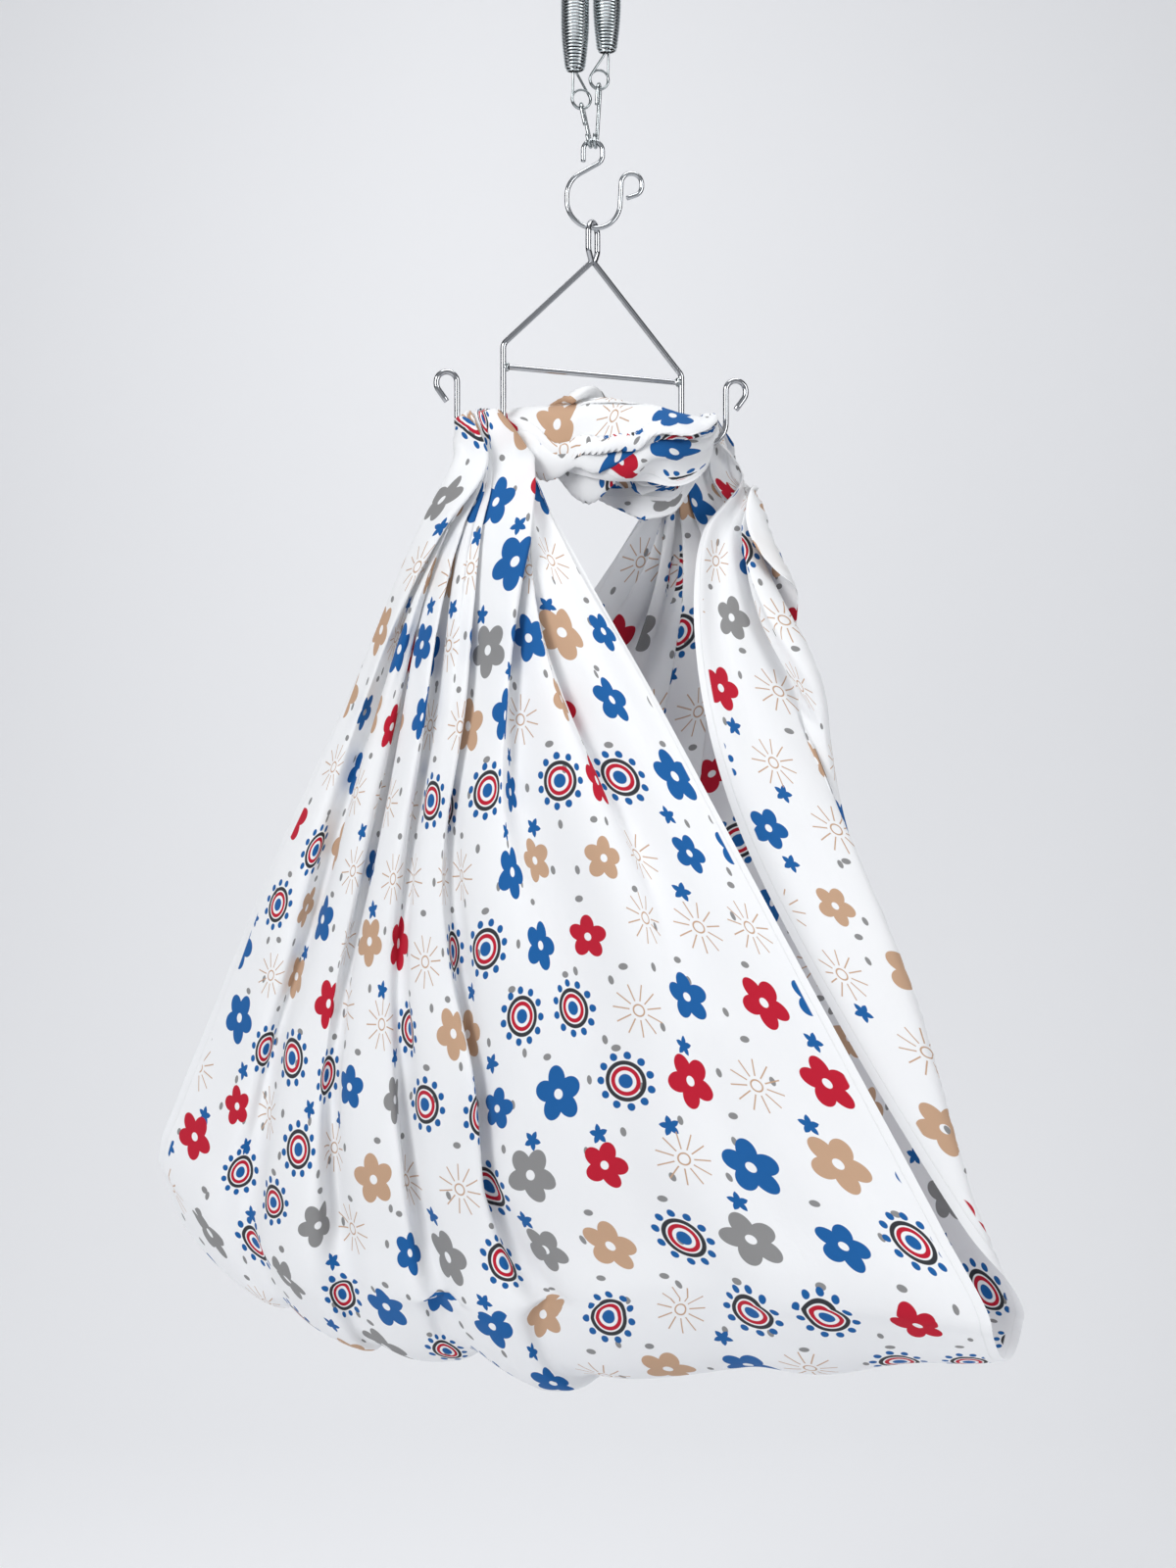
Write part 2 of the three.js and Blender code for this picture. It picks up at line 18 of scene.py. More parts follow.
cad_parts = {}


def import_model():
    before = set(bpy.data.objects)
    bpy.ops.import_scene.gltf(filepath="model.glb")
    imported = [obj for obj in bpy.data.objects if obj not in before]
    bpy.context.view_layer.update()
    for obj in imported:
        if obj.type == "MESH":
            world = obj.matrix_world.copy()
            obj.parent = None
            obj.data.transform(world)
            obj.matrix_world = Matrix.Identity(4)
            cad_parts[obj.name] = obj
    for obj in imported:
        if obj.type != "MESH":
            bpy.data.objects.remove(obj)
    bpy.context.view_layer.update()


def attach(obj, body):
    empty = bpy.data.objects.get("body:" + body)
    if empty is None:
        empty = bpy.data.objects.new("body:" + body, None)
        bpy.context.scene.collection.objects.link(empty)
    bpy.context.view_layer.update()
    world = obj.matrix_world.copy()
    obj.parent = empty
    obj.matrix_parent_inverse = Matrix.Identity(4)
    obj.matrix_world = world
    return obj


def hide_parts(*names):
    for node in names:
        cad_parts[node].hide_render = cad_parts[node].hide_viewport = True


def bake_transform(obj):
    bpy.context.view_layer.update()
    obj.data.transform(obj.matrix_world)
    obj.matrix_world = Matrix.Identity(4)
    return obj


LOG = logging.getLogger("cradle")
MM = 0.001

# Values that lie below and above every chance, which lies between 0 and 1.
BELOW_CHANCE = -1.0
ABOVE_CHANCE = 2.0

# The softness of the printed area's edge along the hem, in metres.
HEM_BLUR = 0.0008

# How dull the studio's paper and flags are.
PAINT_ROUGHNESS = 0.9

# Painted shade between the turns of a spring: the share of the lit colour starts and ends its rise
# at these crest values.
GAP_SHADE_START = 0.55
GAP_SHADE_END = 0.95


def placed(name: str, data: bpy.types.ID) -> bpy.types.Object:
    """Puts something new in the scene.

    Args:
        name: its name.
        data: its mesh, light or camera.

    Returns:
        The object.
    """
    made = bpy.data.objects.new(name, data)
    bpy.context.scene.collection.objects.link(made)
    return made


def finished_mesh(name: str, built: bmesh.types.BMesh) -> bpy.types.Mesh:
    """Turns a bmesh into a smooth mesh, and frees it.

    Args:
        name: the mesh's name.
        built: the bmesh, in metres.

    Returns:
        The mesh.
    """
    mesh = bpy.data.meshes.new(name)
    built.to_mesh(mesh)
    built.free()
    mesh.shade_smooth()
    return mesh


def drawn_out(
    built: bmesh.types.BMesh, edges: list[bmesh.types.BMEdge], way: Vector
) -> list[bmesh.types.BMEdge]:
    """Extrudes edges.

    Args:
        built: the bmesh that they belong to.
        edges: the edges.
        way: how far and where to.

    Returns:
        The far edges.
    """
    drawn = bmesh.ops.extrude_edge_only(built, edges=edges)["geom"]
    verts = [part for part in drawn if isinstance(part, bmesh.types.BMVert)]
    bmesh.ops.translate(built, vec=way, verts=verts)
    return [
        part
        for part in drawn
        if isinstance(part, bmesh.types.BMEdge) and all(vert in verts for vert in part.verts)
    ]


# Finishes


class Metal(Enum):
    """The metal finishes of the wire pieces."""

    HANGER = "hanger_chrome"
    HOOK = "hook_plating"
    LINK = "link_zinc"
    EYE = "eye_zinc"
    SPRING = "spring_zinc"


@dataclass(frozen=True)
class MetalFinish:
    """How one metal looks.

    Args:
        slot: the part's material slot that it stands for; not used.
        color: the metal's reflected colour.
        roughness: its mean roughness.
        streak: how far plating marks change the roughness.
        bump: the height of its drawing marks, in metres.
        gap_shade: painted shade between neighbouring turns, as the share of its brightness that is
            taken away there.
    """

    slot: str
    color: tuple[float, float, float]
    roughness: float
    streak: float
    bump: float
    gap_shade: float = 0.0


METALS = {
    Metal.HANGER: MetalFinish("chrome", (0.46, 0.47, 0.49), 0.08, streak=0.05, bump=0.00001),
    Metal.HOOK: MetalFinish("chrome", (0.50, 0.52, 0.54), 0.15, streak=0.06, bump=0.00001),
    Metal.LINK: MetalFinish("steel", (0.40, 0.43, 0.44), 0.18, streak=0.08, bump=0.00002),
    Metal.EYE: MetalFinish("steel", (0.36, 0.39, 0.40), 0.15, streak=0.08, bump=0.00002),
    Metal.SPRING: MetalFinish("zinc", (0.64, 0.70, 0.72), 0.24, 0.08, bump=0.00002, gap_shade=0.88),
}


@dataclass(frozen=True)
class ClothFinish:
    """The colours, the make and the hems of the cotton. Lengths are in metres of flat cloth.

    Args:
        white: the colour of the unprinted cloth.
        blue: an ink of the print, as are red, tan, grey and charcoal.
        plain_hem: the width that is left unprinted along each hem.
        stitch: the distance of the hems' stitching from the edge.
        thread: half the width of that stitching.
        roughness: how dull the cloth is.
        sheen: the share of light that its fluff scatters.
        specular: its shine, as a share of full.
        relief: the height of its creases.
        relief_share: how strongly the creases bend the light.
        stitch_depth: how deep the stitching lies, as a share of the relief.
        through: the share of light that passes through it.
    """

    white: tuple[float, float, float] = (0.90, 0.91, 0.92)
    blue: tuple[float, float, float] = (0.010, 0.115, 0.360)
    red: tuple[float, float, float] = (0.520, 0.010, 0.032)
    tan: tuple[float, float, float] = (0.560, 0.360, 0.235)
    grey: tuple[float, float, float] = (0.270, 0.270, 0.270)
    charcoal: tuple[float, float, float] = (0.035, 0.038, 0.045)
    plain_hem: float = 0.018
    stitch: float = 0.011
    thread: float = 0.0006
    roughness: float = 0.88
    sheen: float = 0.08
    specular: float = 0.25
    relief: float = 0.0035
    relief_share: float = 0.55
    stitch_depth: float = 0.25
    through: float = 0.24


@dataclass(frozen=True)
class Motifs:
    """The sizes and the mixture of the printed motifs. Lengths are in metres of flat cloth.

    Args:
        cell: the spacing of the big motifs: flowers, wreaths and sunbursts.
        scale: how much larger the big motifs are drawn than their sizes say.
        smallest: the least size of a flower, as a share of the full one.
        size_range: how much larger the largest flower is, as a share of the full one.
        flowers: the share of big motifs that are flowers.
        wreaths: the share of those up to and with the wreaths; the rest are sunbursts.
        tints: the shares of flowers up to and with the blue, the red and the tan ones.
        petals: how many petals a flower has.
        petal_root: the radius of a flower between two petals.
        petal: how far the petals reach beyond that.
        flower_eye: the radius of its unprinted middle.
        dots: how many dots stand about a wreath.
        wreath: the radius of the circle that the dots stand on.
        dot: the radius of a dot.
        rings: the radius and half the width of a wreath's outer ring, inner ring and middle.
        rays: how many rays a sunburst has.
        ray: half the width of a ray.
        ray_reach: the radii at which the rays start and end.
        sun_ring: the radius and half the line width of a sunburst's ring.
        small_cell: the spacing of the stars and the lying seeds.
        stars: the share of those that are stars.
        star_points: how many points a star has.
        star_core: the radius of a star between two points.
        star_point: twice the length of a star's points.
        lying_seed: half the height of a lying seed.
        lying_shape: the square of its height over its width.
        seed_cell: the spacing of the upright seeds.
        seeds: the share of their cells that hold one.
        seed: half the width of an upright seed.
        seed_shape: the square of its width over its height.
    """

    cell: float = 0.078
    scale: float = 1.15
    smallest: float = 0.80
    size_range: float = 0.35
    flowers: float = 0.52
    wreaths: float = 0.76
    tints: tuple[float, float, float] = (0.44, 0.62, 0.88)
    petals: int = 5
    petal_root: float = 0.0145
    petal: float = 0.0085
    flower_eye: float = 0.0042
    dots: int = 11
    wreath: float = 0.0225
    dot: float = 0.0034
    rings: tuple[tuple[float, float], ...] = ((0.0160, 0.0018), (0.0110, 0.0018), (0.0, 0.0062))
    rays: int = 11
    ray: float = 0.0006
    ray_reach: tuple[float, float] = (0.0085, 0.0235)
    sun_ring: tuple[float, float] = (0.0050, 0.0007)
    small_cell: float = 0.078
    stars: float = 0.36
    star_points: int = 5
    star_core: float = 0.0052
    star_point: float = 0.011
    lying_seed: float = 0.0034
    lying_shape: float = 0.45
    seed_cell: float = 0.053
    seeds: float = 0.55
    seed: float = 0.0030
    seed_shape: float = 0.42


class Field:
    """A node socket that can be calculated with.

    Args:
        graph: the graph that the socket belongs to.
        socket: the output socket.
    """

    def __init__(self, graph: "Graph", socket: bpy.types.NodeSocket) -> None:
        """Wraps the socket."""
        self.graph = graph
        self.socket = socket

    def _math(self, operation: str, *others: "Field | float") -> "Field":
        """One operation on this value and others."""
        return self.graph.math(operation, self, *others)

    def __add__(self, other: "Field | float") -> "Field":
        """The sum of this and another value."""
        return self._math("ADD", other)

    def __radd__(self, other: float) -> "Field":
        """The sum of a number and this value."""
        return self._math("ADD", other)

    def __sub__(self, other: "Field | float") -> "Field":
        """This value less another."""
        return self._math("SUBTRACT", other)

    def __rsub__(self, other: float) -> "Field":
        """A number less this value."""
        return self.graph.math("SUBTRACT", other, self)

    def __mul__(self, other: "Field | float") -> "Field":
        """This value times another."""
        return self._math("MULTIPLY", other)

    def __rmul__(self, other: float) -> "Field":
        """A number times this value."""
        return self._math("MULTIPLY", other)

    def __truediv__(self, other: "Field | float") -> "Field":
        """This value divided by another."""
        return self._math("DIVIDE", other)

    def __abs__(self) -> "Field":
        """This value without its sign."""
        return self._math("ABSOLUTE")

    def __pow__(self, power: float) -> "Field":
        """This value to a power."""
        return self._math("POWER", power)

    def __lt__(self, other: "Field | float") -> "Field":
        """1 where this value is below another, else 0."""
        return self._math("LESS_THAN", other)

    def __gt__(self, other: "Field | float") -> "Field":
        """1 where this value is above another, else 0."""
        return self._math("GREATER_THAN", other)

    def min(self, other: "Field | float") -> "Field":
        """The smaller of this and another value."""
        return self._math("MINIMUM", other)

    def max(self, other: "Field | float") -> "Field":
        """The larger of this and another value."""
        return self._math("MAXIMUM", other)

    def floor(self) -> "Field":
        """The whole number below this value."""
        return self._math("FLOOR")

    def fract(self) -> "Field":
        """What is left above the whole number below."""
        return self._math("FRACT")

    def cos(self) -> "Field":
        """The cosine of this value in radians."""
        return self._math("COSINE")

    def inside(self, blur: float = 0.00025) -> "Field":
        """1 where this distance is below zero and 0 above it, with a soft edge of that width."""
        return self.graph.map_range(self, blur, -blur)


class Graph:
    """The node tree of one material, written as calculations.

    Args:
        name: the material's name.
    """

    def __init__(self, name: str) -> None:
        """Starts an empty material."""
        self.material = bpy.data.materials.new(name)
        self.material.use_nodes = True
        self.tree = self.material.node_tree
        self.tree.nodes.clear()

    def node(
        self, kind: str, settings: dict[str, object], sockets: dict[str | int, object]
    ) -> bpy.types.Node:
        """A new node.

        Args:
            kind: its type.
            settings: its properties, which are set first.
            sockets: the values or links of its inputs, by name or number.

        Returns:
            The node.
        """
        node = self.tree.nodes.new(kind)
        for name, value in settings.items():
            setattr(node, name, value)
        for name, value in sockets.items():
            self.feed(node.inputs[name], value)
        return node

    def feed(self, target: bpy.types.NodeSocket, value: object) -> None:
        """Links a field or a socket to an input, or sets the input's value.

        Args:
            target: the input.
            value: the field, socket, colour or number.
        """
        if isinstance(value, Field):
            self.tree.links.new(value.socket, target)
        elif isinstance(value, bpy.types.NodeSocket):
            self.tree.links.new(value, target)
        elif isinstance(value, tuple) and target.type == "RGBA":
            target.default_value = (*value, 1.0)
        else:
            target.default_value = value

    def math(self, operation: str, *values: "Field | float") -> Field:
        """One math node of an operation on values."""
        node = self.node("ShaderNodeMath", {"operation": operation}, dict(enumerate(values)))
        return Field(self, node.outputs[0])

    def map_range(self, value: Field, low: float, high: float) -> Field:
        """A value's share of the way from low to high, held at 0 and 1 beyond them.

        Args:
            value: the value.
            low: where the share is 0.
            high: where it is 1.

        Returns:
            The share.
        """
        sockets = {"Value": value, "From Min": low, "From Max": high, "To Min": 0.0, "To Max": 1.0}
        return Field(self, self.node("ShaderNodeMapRange", {}, sockets).outputs["Result"])

    def mix_color(self, share: "Field | float", first: object, second: object) -> Field:
        """A colour the given share of the way from one colour to another."""
        sockets = {"Factor": share, 6: first, 7: second}
        return Field(self, self.node("ShaderNodeMix", {"data_type": "RGBA"}, sockets).outputs[2])

    def noise(self, vector: object, scale: float, detail: float) -> Field:
        """A smooth noise between 0 and 1, of a scale and a number of finer octaves."""
        sockets = {"Vector": vector, "Scale": scale, "Detail": detail}
        return Field(self, self.node("ShaderNodeTexNoise", {}, sockets).outputs["Fac"])

    def vector(self, x: "Field | float", y: "Field | float", z: "Field | float") -> Field:
        """A vector from three values."""
        node = self.node("ShaderNodeCombineXYZ", {}, {0: x, 1: y, 2: z})
        return Field(self, node.outputs[0])

    def chance(self, x: Field, y: Field, seed: float) -> Field:
        """A random value between 0 and 1 for each whole x and y."""
        sockets = {"Vector": self.vector(x, y, seed)}
        node = self.node("ShaderNodeTexWhiteNoise", {"noise_dimensions": "3D"}, sockets)
        return Field(self, node.outputs["Value"])

    def coordinates(self, kind: str) -> bpy.types.NodeSocket:
        """The coordinates of a kind, Object or UV."""
        return self.node("ShaderNodeTexCoord", {}, {}).outputs[kind]

    def uv(self) -> tuple[Field, Field]:
        """The two coordinates of the piece's own map."""
        split = self.node("ShaderNodeSeparateXYZ", {}, {0: self.coordinates("UV")})
        return Field(self, split.outputs[0]), Field(self, split.outputs[1])

    def bump(self, height: Field, distance: float, strength: float = 1.0) -> Field:
        """A normal bent by a height, which is a share of a distance in metres."""
        sockets = {"Strength": strength, "Distance": distance, "Height": height}
        return Field(self, self.node("ShaderNodeBump", {}, sockets).outputs[0])

    def principled(self, inputs: dict[str | int, object]) -> bpy.types.NodeSocket:
        """A principled surface with these inputs."""
        return self.node("ShaderNodeBsdfPrincipled", {}, inputs).outputs[0]

    def mix_shader(self, share: object, first: object, second: object) -> bpy.types.NodeSocket:
        """A surface the given share of the way from one surface to another."""
        return self.node("ShaderNodeMixShader", {}, {0: share, 1: first, 2: second}).outputs[0]

    def finish(self, shader: bpy.types.NodeSocket) -> bpy.types.Material:
        """Gives the material its surface and returns it."""
        self.node("ShaderNodeOutputMaterial", {}, {"Surface": shader})
        return self.material


def metal_material(metal: Metal) -> bpy.types.Material:
    """A plated metal with faint marks, and painted shade between the turns of a spring.

    Args:
        metal: which metal.

    Returns:
        Its material.
    """
    finish = METALS[metal]
    graph = Graph(metal.value)
    place = graph.coordinates("Object")
    marks = graph.noise(place, scale=900.0, detail=4.0)
    wear = graph.noise(place, scale=60.0, detail=2.0)
    roughness = (wear - 0.5) * (2 * finish.streak) + finish.roughness
    color: object = finish.color
    # Painted shade: the spring's colour is darkened between its turns, where the turns shade each
    # other.
    if finish.gap_shade:
        crest, _ = graph.uv()
        lit = graph.map_range(crest, GAP_SHADE_START, GAP_SHADE_END)
        deep = tuple(share * (1 - finish.gap_shade) for share in finish.color)
        color = graph.mix_color(lit, deep, finish.color)
    inputs = {
        "Base Color": color,
        "Metallic": 1.0,
        "Roughness": roughness,
        "Normal": graph.bump(marks, finish.bump),
    }
    return graph.finish(graph.principled(inputs))


class Print:
    """The generic printed pattern of the cotton, drawn from distances in the flat cloth.

    Args:
        graph: the material's graph.
        finish: the colours.
        motifs: the motifs' sizes and mixture.
    """

    def __init__(self, graph: Graph, finish: ClothFinish, motifs: Motifs) -> None:
        """Starts with the white cloth."""
        self.graph = graph
        self.finish = finish
        self.motifs = motifs
        self.u, self.v = graph.uv()
        self.color = graph.mix_color(0.0, finish.white, finish.white)

    def cells(self, size: float, shift: float, seed: float, jitter: float) -> tuple[Field, ...]:
        """Staggered cells, each with a motif somewhere near its middle.

        Args:
            size: a cell's width and height.
            shift: how far the cells are moved, as a share of their size.
            seed: the number that the motifs' places are drawn with.
            jitter: how far a motif may lie off the middle, as a share of the size.

        Returns:
            The cell's row and column, and the coordinates about its motif.
        """
        row = (self.v / size + shift).floor()
        across = self.u / size + row * 0.5 + shift
        column = across.floor()
        right = self.graph.chance(row, column, seed)
        up = self.graph.chance(row, column, seed + 1.0)
        x = (across.fract() - 0.5 - (right - 0.5) * jitter) * size
        y = ((self.v / size + shift).fract() - 0.5 - (up - 0.5) * jitter) * size
        return row, column, x, y

    def paint(self, cover: Field, color: object) -> None:
        """Covers the cloth with a colour where cover is 1."""
        self.color = self.graph.mix_color(cover, self.color, color)

    def picked(self, chance: Field, low: float | None, high: float | None) -> Field:
        """Picks a share of the motifs.

        Args:
            chance: a random value for each motif.
            low: the value above which motifs are picked, or None for no least value.
            high: the value below which they are, or None for no greatest value.

        Returns:
            1 where the motif is picked, else 0.
        """
        least = BELOW_CHANCE if low is None else low
        most = ABOVE_CHANCE if high is None else high
        return (chance > least) * (chance < most)

    def polar(
        self, row: Field, column: Field, x: Field, y: Field, seed: float
    ) -> tuple[Field, Field]:
        """The distance from a motif's middle, and the angle about it from a random start."""
        turn = self.graph.chance(row, column, seed) * (2 * math.pi)
        return (x * x + y * y) ** 0.5, self.graph.math("ARCTAN2", y, x) + turn

    def spoke(self, angle: Field, count: int) -> Field:
        """How far an angle lies off the nearest of evenly spaced spokes, from -0.5 to 0.5."""
        return (angle * (count / (2 * math.pi))).fract() - 0.5

    def big_motifs(self) -> None:
        """Flowers, wreaths and sunbursts, one in each big cell."""
        sizes = self.motifs
        row, column, x, y = self.cells(sizes.cell, shift=0.0, seed=3.0, jitter=0.20)
        kind = self.graph.chance(row, column, seed=11.0)
        tint = self.graph.chance(row, column, seed=12.0)
        distance, angle = self.polar(row, column, x, y, seed=13.0)
        distance = distance / sizes.scale
        size = self.graph.chance(row, column, seed=14.0) * sizes.size_range + sizes.smallest
        self.flowers(self.picked(kind, None, sizes.flowers), distance, angle, tint, size)
        self.wreaths(self.picked(kind, sizes.flowers, sizes.wreaths), distance, angle)
        self.sunbursts(self.picked(kind, sizes.wreaths, None), distance, angle)

    def flowers(self, here: Field, distance: Field, angle: Field, tint: Field, size: Field) -> None:
        """Round petals about an unprinted middle, in one of four colours.

        Args:
            here: 1 in the cells that hold a flower.
            distance: the distance from the motif's middle.
            angle: the angle about it.
            tint: a random value that chooses the colour.
            size: the flower's size, as a share of the full one.
        """
        sizes, finish = self.motifs, self.finish
        petals = abs((angle * (sizes.petals / 2)).cos()) * sizes.petal + sizes.petal_root
        eye = (sizes.flower_eye * size - distance).inside()
        shape = (distance - petals * size).inside().min(eye)
        colors = (finish.blue, finish.red, finish.tan, finish.grey)
        for color, low, high in zip(colors, (None, *sizes.tints), (*sizes.tints, None)):
            self.paint(shape * here * self.picked(tint, low, high), color)

    def wreaths(self, here: Field, distance: Field, angle: Field) -> None:
        """Rings with a wreath of dots about them and a dot in the middle.

        Args:
            here: 1 in the cells that hold a wreath.
            distance: the distance from the motif's middle.
            angle: the angle about it.
        """
        sizes, finish = self.motifs, self.finish
        aside = self.spoke(angle, sizes.dots) * distance * (2 * math.pi / sizes.dots)
        away = distance - sizes.wreath
        dot = (aside * aside + away * away) ** 0.5 - sizes.dot
        self.paint(dot.inside() * here, finish.blue)
        for (radius, width), color in zip(sizes.rings, (finish.charcoal, finish.red, finish.blue)):
            self.paint((abs(distance - radius) - width).inside() * here, color)

    def sunbursts(self, here: Field, distance: Field, angle: Field) -> None:
        """Thin rays about a small ring.

        Args:
            here: 1 in the cells that hold a sunburst.
            distance: the distance from the motif's middle.
            angle: the angle about it.
        """
        sizes = self.motifs
        start, end = sizes.ray_reach
        radius, line = sizes.sun_ring
        aside = abs(self.spoke(angle, sizes.rays)) * distance * (2 * math.pi / sizes.rays)
        rays = (aside - sizes.ray).max(start - distance).max(distance - end).inside()
        ring = (abs(distance - radius) - line).inside()
        self.paint(rays.max(ring) * here, self.finish.tan)

    def small_motifs(self) -> None:
        """Stars and seeds between the big motifs."""
        sizes = self.motifs
        row, column, x, y = self.cells(sizes.small_cell, shift=0.5, seed=23.0, jitter=0.16)
        kind = self.graph.chance(row, column, seed=31.0)
        distance, angle = self.polar(row, column, x, y, seed=33.0)
        edge = abs(self.spoke(angle, sizes.star_points)) * sizes.star_point + sizes.star_core
        star = (distance - edge).inside()
        self.paint(star * self.picked(kind, None, sizes.stars), self.finish.blue)
        seed = ((x * x) * sizes.lying_shape + y * y) ** 0.5
        seed = (seed - sizes.lying_seed).inside()
        self.paint(seed * self.picked(kind, sizes.stars, None), self.finish.grey)

    def seeds(self) -> None:
        """Single grey seeds in cells of their own."""
        sizes = self.motifs
        row, column, x, y = self.cells(sizes.seed_cell, shift=0.27, seed=43.0, jitter=0.5)
        here = self.picked(self.graph.chance(row, column, seed=51.0), None, sizes.seeds)
        seed = (x * x + (y * y) * sizes.seed_shape) ** 0.5
        self.paint((seed - sizes.seed).inside() * here, self.finish.grey)

    def drawn(self) -> Field:
        """Prints the seeds first, then the small and the big motifs over them.

        Returns:
            The colour of the printed cloth.
        """
        self.seeds()
        self.small_motifs()
        self.big_motifs()
        return self.color


@dataclass(frozen=True)
class ReliefLayer:
    """One noise in the cloth's relief.

    Args:
        across: its waves to a metre across the cloth.
        along: its waves to a metre along the cloth.
        detail: how many finer waves are laid over them.
        height: its share of the relief's height.
        level: the slice of the noise that is taken.
    """

    across: float
    along: float
    detail: float
    height: float
    level: float = 0.0


CREASES = ReliefLayer(across=22.0, along=5.0, detail=5.0, height=0.55)
CRUMPLE = ReliefLayer(across=30.0, along=34.0, detail=4.0, height=0.25, level=4.0)
WEAVE = ReliefLayer(across=1400.0, along=1400.0, detail=1.0, height=0.012)


def cloth_relief(graph: Graph, u: Field, v: Field) -> Field:
    """The height of the cloth's creases and weave.

    Args:
        graph: the material's graph.
        u: the place across the flat cloth, in metres.
        v: the place along it.

    Returns:
        The height, as a share of the relief.
    """
    layers = []
    for layer in (CREASES, CRUMPLE, WEAVE):
        place = graph.vector(u * layer.across, v * layer.along, layer.level)
        layers.append(graph.noise(place, 1.0, layer.detail) * layer.height)
    creases, crumple, weave = layers
    return creases + crumple + weave


def cloth_material(finish: ClothFinish, width: float) -> bpy.types.Material:
    """Thin printed cotton that lets some light through.

    Args:
        finish: its colours and make.
        width: the cloth's width, in metres.

    Returns:
        The material.
    """
    graph = Graph("printed_cotton")
    drawing = Print(graph, finish, Motifs())
    printed = drawing.drawn()
    from_middle = abs(drawing.u - width / 2)
    hem = (width / 2 - from_middle - finish.plain_hem).inside(HEM_BLUR)
    color = graph.mix_color(hem, printed, finish.white)
    stitch = abs(from_middle - (width / 2 - finish.stitch)) - finish.thread
    relief = cloth_relief(graph, drawing.u, drawing.v)
    height = relief - stitch.inside() * finish.stitch_depth
    normal = graph.bump(height, finish.relief, finish.relief_share)
    inputs = {
        "Base Color": color,
        "Roughness": finish.roughness,
        "Normal": normal,
        "Sheen Weight": finish.sheen,
        "Specular IOR Level": finish.specular,
    }
    front = graph.principled(inputs)
    sockets = {"Color": color, "Normal": normal}
    through = graph.node("ShaderNodeBsdfTranslucent", {}, sockets).outputs[0]
    return graph.finish(graph.mix_shader(finish.through, front, through))


def painted_material(
    name: str, color: tuple[float, float, float], clear_behind: bool = False
) -> bpy.types.Material:
    """A flat painted surface.

    Args:
        name: the material's name.
        color: its colour.
        clear_behind: whether it is clear from behind, so that it never hides the cradle.

    Returns:
        The material.
    """
    graph = Graph(name)
    paint = graph.principled({"Base Color": color, "Roughness": PAINT_ROUGHNESS})
    if clear_behind:
        behind = graph.node("ShaderNodeNewGeometry", {}, {}).outputs["Backfacing"]
        clear = graph.node("ShaderNodeBsdfTransparent", {}, {}).outputs[0]
        paint = graph.mix_shader(behind, paint, clear)
    return graph.finish(paint)


# Wire

# Points of a wire's line that lie nearer than this are one, in millimetres.
SAME_POINT = 0.05

# How far a wire's sawn edge is broken, as a share of its radius.
BROKEN_EDGE = 0.14

# A wire that starts steeper than this is upright, as the height of its unit direction.
UPRIGHT = 0.7


@dataclass
class Corner:
    """A corner of a bent wire: its place in millimetres and its bend radius."""

    x: float
    y: float
    z: float
    radius: float = 0.0

    @property
    def place(self) -> Vector:
        """The corner as a vector."""
        return Vector((self.x, self.y, self.z))


def bent_path(corners: list[Corner], step: float = 5.0, stretch: float = 4.0) -> list[Vector]:
    """Points along a wire bent round its corners.

    Args:
        corners: the corners, in order.
        step: the angle between points in a bend, in degrees.
        stretch: the spacing of points on straight runs, in millimetres.

    Returns:
        The points, in millimetres.
    """
    points = [corners[0].place]
    for before, corner, after in zip(corners, corners[1:], corners[2:]):
        here = corner.place
        back = (before.place - here).normalized()
        ahead = (after.place - here).normalized()
        opening = back.angle(ahead)
        middle = (back + ahead).normalized()
        centre = here + middle * (corner.radius / math.sin(opening / 2))
        axis = back.cross(ahead).normalized()
        start = here + back * (corner.radius / math.tan(opening / 2)) - centre
        turned = math.pi - opening
        steps = max(2, round(math.degrees(turned) / step))
        for k in range(steps + 1):
            spoke = start.copy()
            spoke.rotate(Quaternion(axis, -turned * k / steps))
            points.append(centre + spoke)
    points.append(corners[-1].place)
    return _filled(points, stretch)


def _filled(points: list[Vector], stretch: float) -> list[Vector]:
    """The same line with points on its long straight runs and no doubled ones.

    Args:
        points: the line's points, in millimetres.
        stretch: the spacing of the new points.

    Returns:
        The points.
    """
    filled = [points[0]]
    for point in points[1:]:
        length = (point - filled[-1]).length
        if length < SAME_POINT:
            continue
        count = max(1, int(length / stretch))
        start = filled[-1]
        filled.extend(start.lerp(point, k / count) for k in range(1, count + 1))
    return filled


